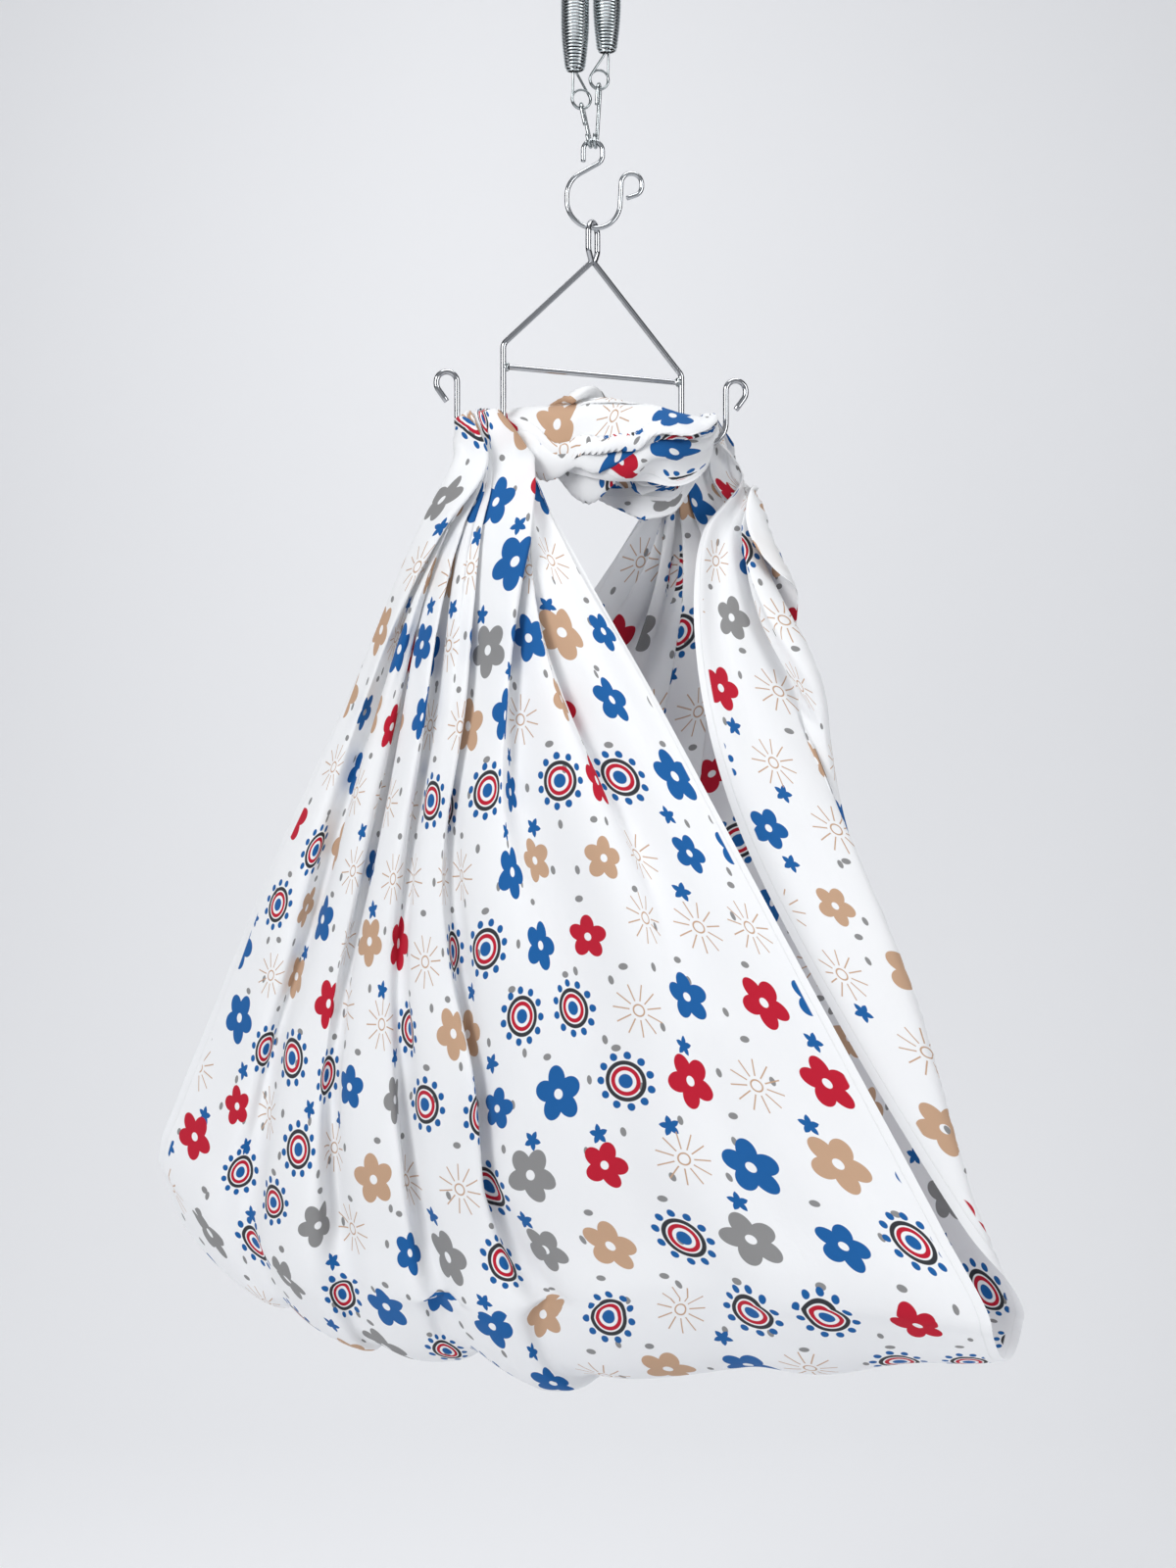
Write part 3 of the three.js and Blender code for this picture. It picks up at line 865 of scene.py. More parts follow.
def tube_mesh(name: str, points: list[Vector], radius: float, sides: int = 20) -> bpy.types.Mesh:
    """A round wire along points, with softly broken edges at its sawn ends.

    Args:
        name: the mesh's name.
        points: its centre line, in millimetres.
        radius: the wire's radius, in millimetres.
        sides: the number of its sides.

    Returns:
        The closed mesh.
    """
    line = np.array([tuple(point) for point in points])
    way = np.gradient(line, axis=0)
    way /= np.linalg.norm(way, axis=1)[:, None]
    inset = radius * BROKEN_EDGE
    start, end = line[0] + way[0] * inset, line[-1] - way[-1] * inset
    places = [line[0], start, *line[1:-1], end, line[-1]]
    ways = [way[0], *way, way[-1]]
    radii = [radius - inset, *[radius] * len(line), radius - inset]
    side = np.array((1.0, 0.0, 0.0) if abs(way[0][2]) > UPRIGHT else (0.0, 0.0, 1.0))
    built = bmesh.new()
    before: list[bmesh.types.BMEdge] = []
    for index, (place, ahead, size) in enumerate(zip(places, ways, radii)):
        side = side - ahead * side.dot(ahead)
        side /= np.linalg.norm(side)
        frame = np.eye(4)
        frame[:3] = np.column_stack((np.cross(side, ahead), side, ahead, place * MM))
        ring = bmesh.ops.create_circle(
            built,
            cap_ends=index in (0, len(places) - 1),
            segments=sides,
            radius=size * MM,
            matrix=Matrix(frame.tolist()),
        )["verts"]
        rim = [edge for vert in ring for edge in vert.link_edges if edge.verts[0] == vert]
        if before:
            bmesh.ops.bridge_loops(built, edges=before + rim)
        before = rim
    bmesh.ops.recalc_face_normals(built, faces=built.faces)
    return finished_mesh(name, built)


@dataclass
class Hardware:
    """The sizes of the metal pieces, in millimetres and degrees, as the CAD part has them.

    The hooks, links, springs, insert eyes and the hanger rod each have a group of their own. A
    size whose name ends in wire is a diameter, and a bend or radius is that of a centre line.
    """

    # The play between the pieces, and the wires
    gap: float = 0.3
    hook_gap: float = 0.9
    hook_wire: float = 5.0
    link_wire: float = 4.0
    eye_wire: float = 2.5
    spring_wire: float = 2.4
    rod: float = 6.0
    bar: float = 5.7

    # The S-hook, and the top hook that is the same turned over: small loop, waist, bowl and tip
    loop_radius: float = 10.0
    bowl_radius: float = 27.0
    hook_reach: float = 89.0
    loop_arm: float = 12.0
    waist: float = 32.0
    tip_radius: float = 10.5
    tip_rise: float = 20.0
    tip_lean: float = 3.0
    tip_tuck: float = 9.0

    # The open links; an arm is what stands free beyond a crown, and spread and turn are the
    # place and the lean of the links in a hook's loop
    link_bend: float = 6.9
    long_link: float = 63.96
    short_link: float = 42.96
    long_arm: float = 23.0
    short_arm: float = 12.0
    link_spread: float = 2.5
    link_turn: float = 20.0

    # The springs, with a shoulder and a taper at both ends
    spring_length: float = 190.0
    spring_pitch: float = 3.3
    spring_radius: float = 13.3
    shoulder_radius: float = 9.4
    end_radius: float = 6.5
    shoulder: float = 5.0
    taper: float = 52.0
    left_x: float = -18.5
    right_x: float = 14.5

    # The insert eyes: the ring hangs a drop below the spring and is shifted towards its link
    ring_radius: float = 9.6
    ring_pitch: float = 2.9
    eye_drop: float = 27.0
    leg_spread: float = 2.0
    leg_depth: float = 1.6
    foot_height: float = 8.0
    foot_reach: float = 6.8
    short_shift: float = 6.5
    long_shift: float = 8.0

    # The hanger rod, from its eye and neck over the shoulders and legs to the hooks' tips; a
    # drop is measured from the neck, and a weld's place from its shoulder down
    eye_radius: float = 11.5
    eye_height: float = 41.0
    eye_twist: float = 56.0
    neck: float = 6.6
    neck_bend: float = 7.0
    leg_span: float = 185.0
    left_drop: float = 86.0
    right_drop: float = 112.0
    shoulder_bend: float = 10.0
    left_weld: float = 23.0
    right_weld: float = 8.0
    hook_drop: float = 224.0
    hook_width: float = 47.0
    rod_tip_height: float = 67.0
    rod_tip_radius: float = 10.5
    rod_tip_tuck: float = 5.0
    rod_tip_end: float = 30.0

    # The heights of the chain, which follow from the sizes above
    top_loop_z: float = field(init=False)
    ring_crown: float = field(init=False)
    hook_crown: float = field(init=False)
    left_top_z: float = field(init=False)
    right_top_z: float = field(init=False)
    low_loop_z: float = field(init=False)
    eye_top_z: float = field(init=False)
    neck_z: float = field(init=False)
    rod_hook_z: float = field(init=False)

    def __post_init__(self) -> None:
        """Works out the heights of the chain from the top hook down."""
        self.top_loop_z = self.hook_wire / 2 - self.hook_reach + self.loop_radius
        at_hook = (self.link_wire + self.hook_wire) / 2 + self.hook_gap
        room = self.link_bend - self.link_wire / 2 - self.gap
        half = self.ring_pitch / 2 / math.cos(math.radians(self.link_turn))
        sink = math.sqrt((room - self.eye_wire / 2 - 2 * self.gap) ** 2 - half**2)
        self.ring_crown = self.ring_radius - (self.link_bend - sink)
        self.hook_crown = math.sqrt((self.loop_radius - at_hook) ** 2 - self.link_spread**2)
        fixed = self.hook_crown + self.ring_crown + self.eye_drop
        self.left_top_z = self.top_loop_z - fixed - self.long_link
        self.right_top_z = self.top_loop_z - fixed - self.short_link
        self.low_loop_z = self.right_top_z - self.spring_length - fixed - self.long_link
        bowl_z = self.low_loop_z + self.loop_radius - self.hook_reach
        self.eye_top_z = bowl_z + (self.hook_wire + self.rod) / 2 + self.gap
        self.neck_z = self.eye_top_z - self.eye_height
        self.rod_hook_z = self.eye_top_z - self.hook_drop

    def hook_path(self, loop_z: float, turned: bool) -> list[Vector]:
        """An S-hook.

        Args:
            loop_z: the height of its loop's middle.
            turned: whether it is turned over, with its bowl on top.

        Returns:
            Its centre line.
        """
        flip = -1 if turned else 1
        bowl = self.hook_reach - self.loop_radius
        tip_x = self.bowl_radius + self.tip_lean
        tip_z = bowl - self.bowl_radius - self.tip_rise
        loop, wide, tip = self.loop_radius, self.bowl_radius, self.tip_radius
        rows = (
            (-loop, self.loop_arm, 0.0),
            (-loop, -loop, loop),
            (loop, -loop, loop),
            (loop, loop, loop),
            (-wide, self.waist, wide),
            (-wide, bowl, wide),
            (wide, bowl, wide),
            (tip_x, tip_z - tip, tip),
            (tip_x + 2 * tip, tip_z - tip, tip),
            (tip_x + 2 * tip, tip_z + self.tip_tuck, tip),
            (tip_x + tip / 2, tip_z + tip + self.tip_tuck / 2, 0.0),
        )
        return bent_path([Corner(flip * x, 0.0, loop_z - flip * down, r) for x, down, r in rows])

    def eye_path(self, spring_x: float, spring_z: float, shift: float, up: int) -> list[Vector]:
        """An insert eye: two legs with feet in the spring, and a ring of one and a half turns.

        Args:
            spring_x: the spring's place across.
            spring_z: the height of the spring's end.
            shift: how far the ring lies right of the spring.
            up: 1 where the spring is above the ring, -1 where it is below.

        Returns:
            Its centre line.
        """
        ring_x, ring_z = spring_x + shift, spring_z - up * self.eye_drop
        touches = []
        ends = []
        for hand in (-1, 1):
            x, y = spring_x + hand * self.leg_spread, hand * self.leg_depth
            far = math.hypot(x - ring_x, self.eye_drop)
            lean = math.atan2(self.eye_drop, x - ring_x)
            touches.append(lean - hand * math.acos(self.ring_radius / far))
            foot_x = spring_x + hand * self.foot_reach
            ends.append([
                Vector((foot_x, y, spring_z + up * (self.foot_height + self.eye_wire))),
                Vector((x, y, spring_z + up * self.foot_height)),
                Vector((x, y, spring_z)),
            ])
        turns = touches[1] - touches[0] + 4 * math.pi
        steps = 110
        points = []
        for k in range(steps + 1):
            angle = touches[0] + turns * k / steps
            depth = (k / steps - 0.5) * turns * self.ring_pitch / (2 * math.pi)
            across = self.ring_radius * math.cos(angle)
            along = up * self.ring_radius * math.sin(angle)
            points.append(Vector((ring_x + across, depth, ring_z + along)))
        return _filled([*ends[0], *points, *reversed(ends[1])], stretch=3.0)

    def link_path(self, ring_end: Vector, hook_end: Vector) -> list[Vector]:
        """An open link, bent to a C.

        Args:
            ring_end: its crown in an insert eye.
            hook_end: its crown in a hook's loop.

        Returns:
            Its centre line.
        """
        way = (hook_end - ring_end).normalized()
        turn = math.radians(self.link_turn)
        aside = Vector((math.sin(turn), math.cos(turn), 0.0))
        aside = (aside - way * aside.dot(way)).normalized()
        bend = self.link_bend
        rows = (
            (ring_end, self.long_arm, -bend, 0.0),
            (ring_end, 0.0, -bend, bend),
            (ring_end, 0.0, bend, bend),
            (hook_end, 0.0, bend, bend),
            (hook_end, 0.0, -bend, bend),
            (hook_end, -self.short_arm, -bend, 0.0),
        )
        return bent_path([
            Corner(*(crown + way * along + aside * across), radius)
            for crown, along, across, radius in rows
        ])

    def coil_radius(self, along: float) -> float:
        """How wide a spring is wound.

        Args:
            along: the distance from the spring's top.

        Returns:
            The radius of the wire's centre line there.
        """
        end = min(along, self.spring_length - along)
        if end < self.shoulder:
            return self.end_radius + (self.shoulder_radius - self.end_radius) * end / self.shoulder
        share = min(1.0, (end - self.shoulder) / (self.taper - self.shoulder))
        rise = math.sin(share * math.pi / 2)
        return self.shoulder_radius + (self.spring_radius - self.shoulder_radius) * rise

    def spring_path(self, x: float, top_z: float) -> list[Vector]:
        """The wire of a close-wound spring with tapered ends.

        Args:
            x: the spring's place across.
            top_z: the height of its top.

        Returns:
            The wire's centre line, from the top down.
        """
        per_turn = 28
        travel = self.spring_length - self.spring_wire
        steps = int(travel / self.spring_pitch * per_turn)
        points = []
        for k in range(steps + 1):
            along = self.spring_wire / 2 + travel * k / steps
            angle = 2 * math.pi * k / per_turn
            radius = self.coil_radius(along)
            across, depth = radius * math.cos(angle), radius * math.sin(angle)
            points.append(Vector((x + across, depth, top_z - along)))
        return points

    def rod_half(self, hand: int, drop: float) -> list[Corner]:
        """Half of the hanger rod, from the top of its eye to a hook's tip.

        Args:
            hand: -1 for the left half, 1 for the right one.
            drop: how far its shoulder lies below the neck.

        Returns:
            Its corners.
        """
        twist = math.radians(self.eye_twist)
        leg = self.leg_span / 2
        stem = leg + self.hook_width
        bend = self.hook_width / 2
        tip, tip_z = self.rod_tip_radius, self.rod_hook_z + self.rod_tip_height
        eye = (
            (self.eye_radius, self.eye_top_z, self.eye_radius),
            (self.eye_radius, self.neck_z + self.eye_radius, self.neck_bend),
            (self.neck / 2, self.neck_z, self.neck_bend / 2),
        )
        side = (
            (leg, self.neck_z - drop, self.shoulder_bend),
            (leg, self.rod_hook_z, bend),
            (stem, self.rod_hook_z, bend),
            (stem, tip_z, tip),
            (stem + 2 * tip, tip_z, tip),
            (stem + 2 * tip, tip_z - self.rod_tip_tuck - tip, tip),
            (stem + tip, tip_z - self.rod_tip_end, 0.0),
        )
        turned = [
            Corner(hand * x * math.cos(twist), hand * x * math.sin(twist), z, radius)
            for x, z, radius in eye
        ]
        return turned + [Corner(hand * x, 0.0, z, radius) for x, z, radius in side]

    def rod_path(self) -> list[Vector]:
        """The hanger's one bent rod."""
        left = self.rod_half(-1, self.left_drop)
        right = self.rod_half(1, self.right_drop)
        return bent_path([*reversed(left), *right])


@dataclass
class WirePiece:
    """A wire to build.

    Args:
        name: the CAD node that it stands for.
        body: the body that it moves with; the springs are not attached to theirs.
        metal: its finish.
        path: its centre line, in millimetres.
        radius: the wire's radius, in millimetres.
        sides: the number of its sides.
    """

    name: str
    body: str
    metal: Metal
    path: list[Vector]
    radius: float
    sides: int = 20


# The gap between the crossbar's ends and the legs, and how far a weld's middle lies from a leg's
# middle, in millimetres.
BAR_PLAY = 0.1
WELD_INSET = 3.2

# A weld bead's radii in millimetres, how uneven it is, how fine its waves are, and how many of
# them lie over one another.
WELD_RADII = (3.6, 4.3, 4.6)
WELD_UNEVEN = 0.05
WELD_FINENESS = 2.4
WELD_WAVES = 5


class Metalwork:
    """Builds the round metal pieces that stand for the faceted CAD ones.

    Args:
        sizes: the sizes of the metal pieces.
    """

    def __init__(self, sizes: Hardware) -> None:
        """Makes the finishes."""
        self.sizes = sizes
        self.materials = {metal: metal_material(metal) for metal in Metal}

    def linkage(self, name: str, left: bool, lower: bool) -> list[WirePiece]:
        """The insert eye and the link at one end of one spring.

        Args:
            name: the start of the pieces' names.
            left: whether it is the left spring.
            lower: whether it is the spring's lower end.

        Returns:
            The two pieces.
        """
        s = self.sizes
        up = 1 if lower else -1
        long = left != lower
        shift = (s.long_shift if long else s.short_shift) * (1 if left else -1)
        x = s.left_x if left else s.right_x
        z = (s.left_top_z if left else s.right_top_z) - (s.spring_length if lower else 0.0)
        loop_z = s.low_loop_z if lower else s.top_loop_z
        ring_z = z - up * s.eye_drop
        ring_end = Vector((x + shift, 0.0, ring_z - up * s.ring_crown))
        hook_x = s.link_spread * (-1 if left else 1)
        hook_end = Vector((hook_x, 0.0, loop_z + up * s.hook_crown))
        body = "lower_links" if lower else "springs"
        eye = s.eye_path(x, z, shift, up)
        link = s.link_path(ring_end, hook_end)
        return [
            WirePiece(f"{name}_eye", body, Metal.EYE, eye, s.eye_wire / 2, 14),
            WirePiece(f"{name}_link", body, Metal.LINK, link, s.link_wire / 2, 18),
        ]

    def pieces(self) -> list[WirePiece]:
        """Every wire piece of the cradle but the crossbar.

        Returns:
            The pieces, from the hooks and the hanger to the springs.
        """
        s = self.sizes
        half, rod = s.hook_wire / 2, s.rod / 2
        top, low = s.hook_path(s.top_loop_z, True), s.hook_path(s.low_loop_z, False)
        pieces = [
            WirePiece("top_hook", "mounting", Metal.HOOK, top, half),
            WirePiece("s_hook", "hook", Metal.HOOK, low, half),
            WirePiece("hanger_rod", "hanger", Metal.HANGER, s.rod_path(), rod, 24),
        ]
        for level, lower in (("upper", False), ("lower", True)):
            for side, left in (("left", True), ("right", False)):
                pieces.extend(self.linkage(f"{level}_{side}", left, lower))
        wire = s.spring_wire / 2
        for side, x, z in (("left", s.left_x, s.left_top_z), ("right", s.right_x, s.right_top_z)):
            path = s.spring_path(x, z)
            pieces.append(WirePiece(f"spring_{side}", "springs", Metal.SPRING, path, wire, 8))
        return pieces

    def build(self) -> list[bpy.types.Object]:
        """Makes every metal piece.

        Returns:
            Their objects.
        """
        made = []
        for piece in self.pieces():
            mesh = tube_mesh(f"{piece.name}_round", piece.path, piece.radius, piece.sides)
            shown = self.shown(piece.name, mesh, piece.metal)
            if piece.metal is Metal.SPRING:
                # The crest map places the painted shade between the spring's turns.
                self.mark_crests(mesh, piece.path)
                start, end = piece.path[0] * MM, piece.path[-1] * MM
                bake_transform(shown)
            else:
                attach(shown, piece.body)
            self.stand_for(piece.name)
            made.append(shown)
        return made + self.crossbar()

    def shown(self, node: str, mesh: bpy.types.Mesh, metal: Metal) -> bpy.types.Object:
        """The object of a mesh in its finish, named after the CAD node that it stands for."""
        mesh.materials.append(self.materials[metal])
        return placed(f"{node}_round", mesh)

    def stand_for(self, node: str) -> None:
        """Lets an object stand for a CAD node by hiding that node.

        Args:
            node: the node's name.
        """
        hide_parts(node)

    def mark_crests(self, mesh: bpy.types.Mesh, path: list[Vector]) -> None:
        """Gives a spring a map of how far out each point lies, from 0 to 1 at the turns' crests.

        Args:
            mesh: the spring's mesh.
            path: its wire's centre line, in millimetres.
        """
        s = self.sizes
        middle = sum(point.x for point in path) / len(path)
        top = path[0].z + s.spring_wire / 2
        places = np.array([tuple(vertex.co) for vertex in mesh.vertices]) / MM
        coil = np.array([s.coil_radius(top - z) for z in places[:, 2]])
        out = (np.hypot(places[:, 0] - middle, places[:, 1]) - coil) / s.spring_wire + 0.5
        corners = np.array([loop.vertex_index for loop in mesh.loops])
        crests = np.column_stack((np.clip(out[corners], 0.0, 1.0), np.full(len(corners), 0.5)))
        mesh.uv_layers.new(name="crest").data.foreach_set("uv", crests.ravel())

    def crossbar(self) -> list[bpy.types.Object]:
        """The crossbar between the legs, and the weld at each of its ends.

        Returns:
            Their objects.
        """
        s = self.sizes
        half = s.leg_span / 2
        left = Vector((-half, 0.0, s.neck_z - s.left_drop - s.left_weld))
        right = Vector((half, 0.0, s.neck_z - s.right_drop - s.right_weld))
        way = (right - left).normalized()
        start, end = left + way * (s.rod / 2 + BAR_PLAY), right - way * (s.rod / 2 + BAR_PLAY)
        bar = tube_mesh("crossbar_round", _filled([start, end], stretch=6.0), s.bar / 2, 24)
        parts = [("crossbar", bar, Metal.HANGER)]
        for node, place, hand in (("left_weld", left, 1), ("right_weld", right, -1)):
            parts.append((node, weld_mesh(node, place + way * hand * WELD_INSET), Metal.LINK))
        made = []
        for node, mesh, metal in parts:
            shown = self.shown(node, mesh, metal)
            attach(shown, "hanger")
            self.stand_for(node)
            made.append(shown)
        return made


def weld_mesh(name: str, centre: Vector) -> bpy.types.Mesh:
    """A small uneven weld bead.

    Args:
        name: the CAD node that it stands for.
        centre: its middle, in millimetres.

    Returns:
        The closed mesh.
    """
    built = bmesh.new()
    bmesh.ops.create_icosphere(built, subdivisions=4, radius=1.0)
    # Names of unlike length give the two beads unlike waves
    noise = np.random.default_rng(len(name))
    waves = [Vector(wave) for wave in noise.normal(size=(WELD_WAVES, 3)) * WELD_FINENESS]
    for vertex in built.verts:
        waving = sum(math.sin(vertex.co.dot(wave) + i) for i, wave in enumerate(waves))
        place = vertex.co * (1.0 + WELD_UNEVEN * waving)
        grown = Vector([part * radius for part, radius in zip(place, WELD_RADII)])
        vertex.co = (centre + grown) * MM
    return finished_mesh(f"{name}_bead", built)


# Cloth


@dataclass
class Rung:
    """One line across the cloth's width, bent about its middle.

    Args:
        centre: its middle, in millimetres; z is measured from the bundles' floor.
        turn: the angle of its direction across, from +X towards -Y, in degrees.
        tilt: how far its edges lean from upright towards the front, in degrees.
        half: how far its edges lie from the middle along its direction.
        rise: how far its edges lie above the middle.
        sweep: half the angle that it bends through, in degrees.
        fold: the share of the folds' depth that it has room for.
        lean: the share of the lost depth that is laid over towards the near hem.
    """

    centre: tuple[float, float, float]
    turn: float
    tilt: float
    half: float
    rise: float
    sweep: float = 90.0
    fold: float = 0.4
    lean: float = 0.0

    def points(self, shares: np.ndarray) -> np.ndarray:
        """The rung's points.

        Args:
            shares: where they lie, from 1 at the near hem to -1 at the far one.

        Returns:
            Their places.
        """
        turn, tilt = math.radians(self.turn), math.radians(self.tilt)
        across = np.array((math.cos(turn), -math.sin(turn), 0.0))
        up = np.array((0.0, -math.sin(tilt), math.cos(tilt)))
        sweep = math.radians(self.sweep)
        widest = 1.0 if sweep >= math.pi / 2 else math.sin(sweep)
        bend = shares * sweep
        return (
            np.array(self.centre)
            + across * (self.half / widest * np.sin(bend))[:, None]
            + up * (self.rise / (1 - math.cos(sweep)) * (1 - np.cos(bend)))[:, None]
        )


@dataclass
class SlingShape:
    """How the cloth tube hangs, in millimetres, about the middle between the hanger's hooks.

    Near and far are the two open ends of the trough, near the one towards the camera. Places
    across the cloth run from 0 at the near hem to 1 at the far one, and places round the tube's
    loop from 0 over the left hook to 1.

    Args:
        width: the tube's width, from hem to hem.
        columns: how many columns of faces the cloth has.
        rows: how many rows of faces it has round the loop.
        samples: how many points a rung has.
        trough_rows: how many rungs lie in the trough.
        panel_rows: how many steps a panel has from its hook to the trough.
        hook_x: half the distance between the hanger's hooks.
        axis_turn: the direction of the trough, from +X towards -Y, in degrees.
        shift: how far the trough's middle lies along its axis.
        offset: how far the trough's axis lies aside of the hanger's middle.
        half_length: half the trough's length.
        near_short: how much shorter its near half is.
        far_short: how much shorter its far half is.
        drop: how far its lowest point lies below the hooks.
        half_width: half its width in the middle.
        near_width_share: the share of that width that is left at the near end.
        far_width_share: the share that is left at the far end.
        near_lift: how far its near end lies above its middle.
        far_lift: how far its far end does.
        near_power: how late the near end's rise sets in.
        far_power: how late the far end's rise does.
        height: how far the trough's edges lie above its floor.
        near_height_share: the share of that height that is left at the near end.
        tuck: the depth of the hollow that the floor is drawn up into.
        tuck_place: where along the axis that hollow lies.
        tuck_reach: its length.
        bulge: how far the panels swell outwards.
        bulge_power: how high up the swelling lies; less is higher.
        curl: how much of the right panel's near hem is curled in.
        curl_power: how high up the curl is widest.
        far_bow: how far the panels' far hems swing in.
        valleys: the places across the cloth of the valleys between broad folds.
        fold_weights: the depth of each broad fold.
        sharp: how much sharper the folds' crests are than a plain wave.
        hem_ease: the share of the folds that is lost at the near hem.
        hem_reach: how far across the cloth that reaches.
        main_folds: the place and the weight of each fold that runs down to the trough.
        fold_reach: how far across the cloth such a fold reaches.
        creases: the places of the valleys between fine creases.
        crease_share: the depth of the creases, as a share of the broad folds'.
        trough_ease: the share of the folds' depth that is lost on the trough's floor.
        fold_shares: steps down a panel.
        depth_shares: the share of the folds' depth that there is room for at those steps.
        lean: how far the lost depth is laid over towards the near hem.
        fade_start: how far below the hooks the folds begin to fade.
        fade_length: over what height they do.
        swag_place: the place round the loop of the swag's middle.
        swag_reach: how far the swag reaches from there.
        swag_turn: how far the folds turn over along the swag.
        swag_uneven: how much more uneven they are there.
        swag_crease: how much more creased the swag is.
        drift: how far the folds wander across the cloth.
        drift_share: the share of that by which the rows themselves are moved.
        uneven: how uneven they are elsewhere.
        uneven_waves: how many waves of unevenness there are across the cloth and round the loop.
    """

    width: float = 1105.0
    columns: int = 250
    rows: int = 370
    samples: int = 97
    trough_rows: int = 9
    panel_rows: int = 12

    hook_x: float = 116.0
    axis_turn: float = 48.0
    shift: float = -30.0
    offset: float = -30.0
    half_length: float = 540.0
    near_short: float = 24.0
    far_short: float = 34.0
    drop: float = 974.0
    half_width: float = 98.0
    near_width_share: float = 0.2
    far_width_share: float = 0.45
    near_lift: float = 118.0
    far_lift: float = 112.0
    near_power: float = 0.95
    far_power: float = 3.0
    height: float = 88.0
    near_height_share: float = 0.3
    tuck: float = 20.0
    tuck_place: float = -110.0
    tuck_reach: float = 70.0

    bulge: float = 34.0
    bulge_power: float = 0.8
    curl: float = 122.0
    curl_power: float = 0.72
    far_bow: float = 34.0

    valleys: tuple[float, ...] = (-0.06, 0.12, 0.27, 0.429, 0.571, 0.714, 0.857, 1.03)
    fold_weights: tuple[float, ...] = (0.7, 0.85, 0.8, 1.0, 0.85, 1.0, 0.9)
    sharp: float = 0.34
    hem_ease: float = 0.7
    hem_reach: float = 0.1
    main_folds: tuple[tuple[float, float], ...] = (
        (0.214, 0.55),
        (0.429, 1.0),
        (0.571, 0.9),
        (0.714, 0.9),
        (0.857, 0.7),
    )
    fold_reach: float = 0.045
    creases: tuple[float, ...] = (
        *(-0.03, 0.05, 0.12, 0.17, 0.25, 0.31, 0.38, 0.46, 0.50),
        *(0.54, 0.61, 0.66, 0.70, 0.77, 0.83, 0.90, 0.95, 1.03),
    )
    crease_share: float = 0.42
    trough_ease: float = 0.5
    fold_shares: tuple[float, ...] = (0.0, 0.2, 0.8, 1.0)
    depth_shares: tuple[float, ...] = (0.4, 0.55, 0.6, 0.9)
    lean: float = 1.0
    fade_start: float = 120.0
    fade_length: float = 480.0

    swag_place: float = 0.055
    swag_reach: float = 0.045
    swag_turn: float = 1.6
    swag_uneven: float = 0.05
    swag_crease: float = 1.4
    drift: float = 0.05
    drift_share: float = 0.3
    uneven: float = 0.012
    uneven_waves: tuple[float, float] = (1.7, 5.0)


# The direction in which the right panel's near hem curls.
CURL_WAY = (-0.99, 0.02, 0.0)

# How many columns to each side the steps between folds are eased over.
FOLD_EASE = 7

# The steepest turning of a fold, in radians, and how often the search for the turning is halved.
STEEPEST_FOLD = 2.05
HALVINGS = 26

# One over the share of the cloth's width in which the folds' lean sets in, from either hem.
LEAN_ONSET = 10

# The small waves of the thin cloth: the seed that they are drawn with, how many there are, and
# the ranges of their lengths across and along the cloth, in millimetres. Their height is their
# length across over the flatness, and of the sum of all this share is kept.
RIPPLE_SEED = 7
RIPPLES = 16
RIPPLE_ACROSS = (120.0, 320.0)
RIPPLE_ALONG = (260.0, 900.0)
RIPPLE_FLATNESS = 260.0
RIPPLE_SHARE = 0.55

# A direction shorter than this counts as having this length, so that nothing is divided by zero.
LEAST_LENGTH = 1e-9


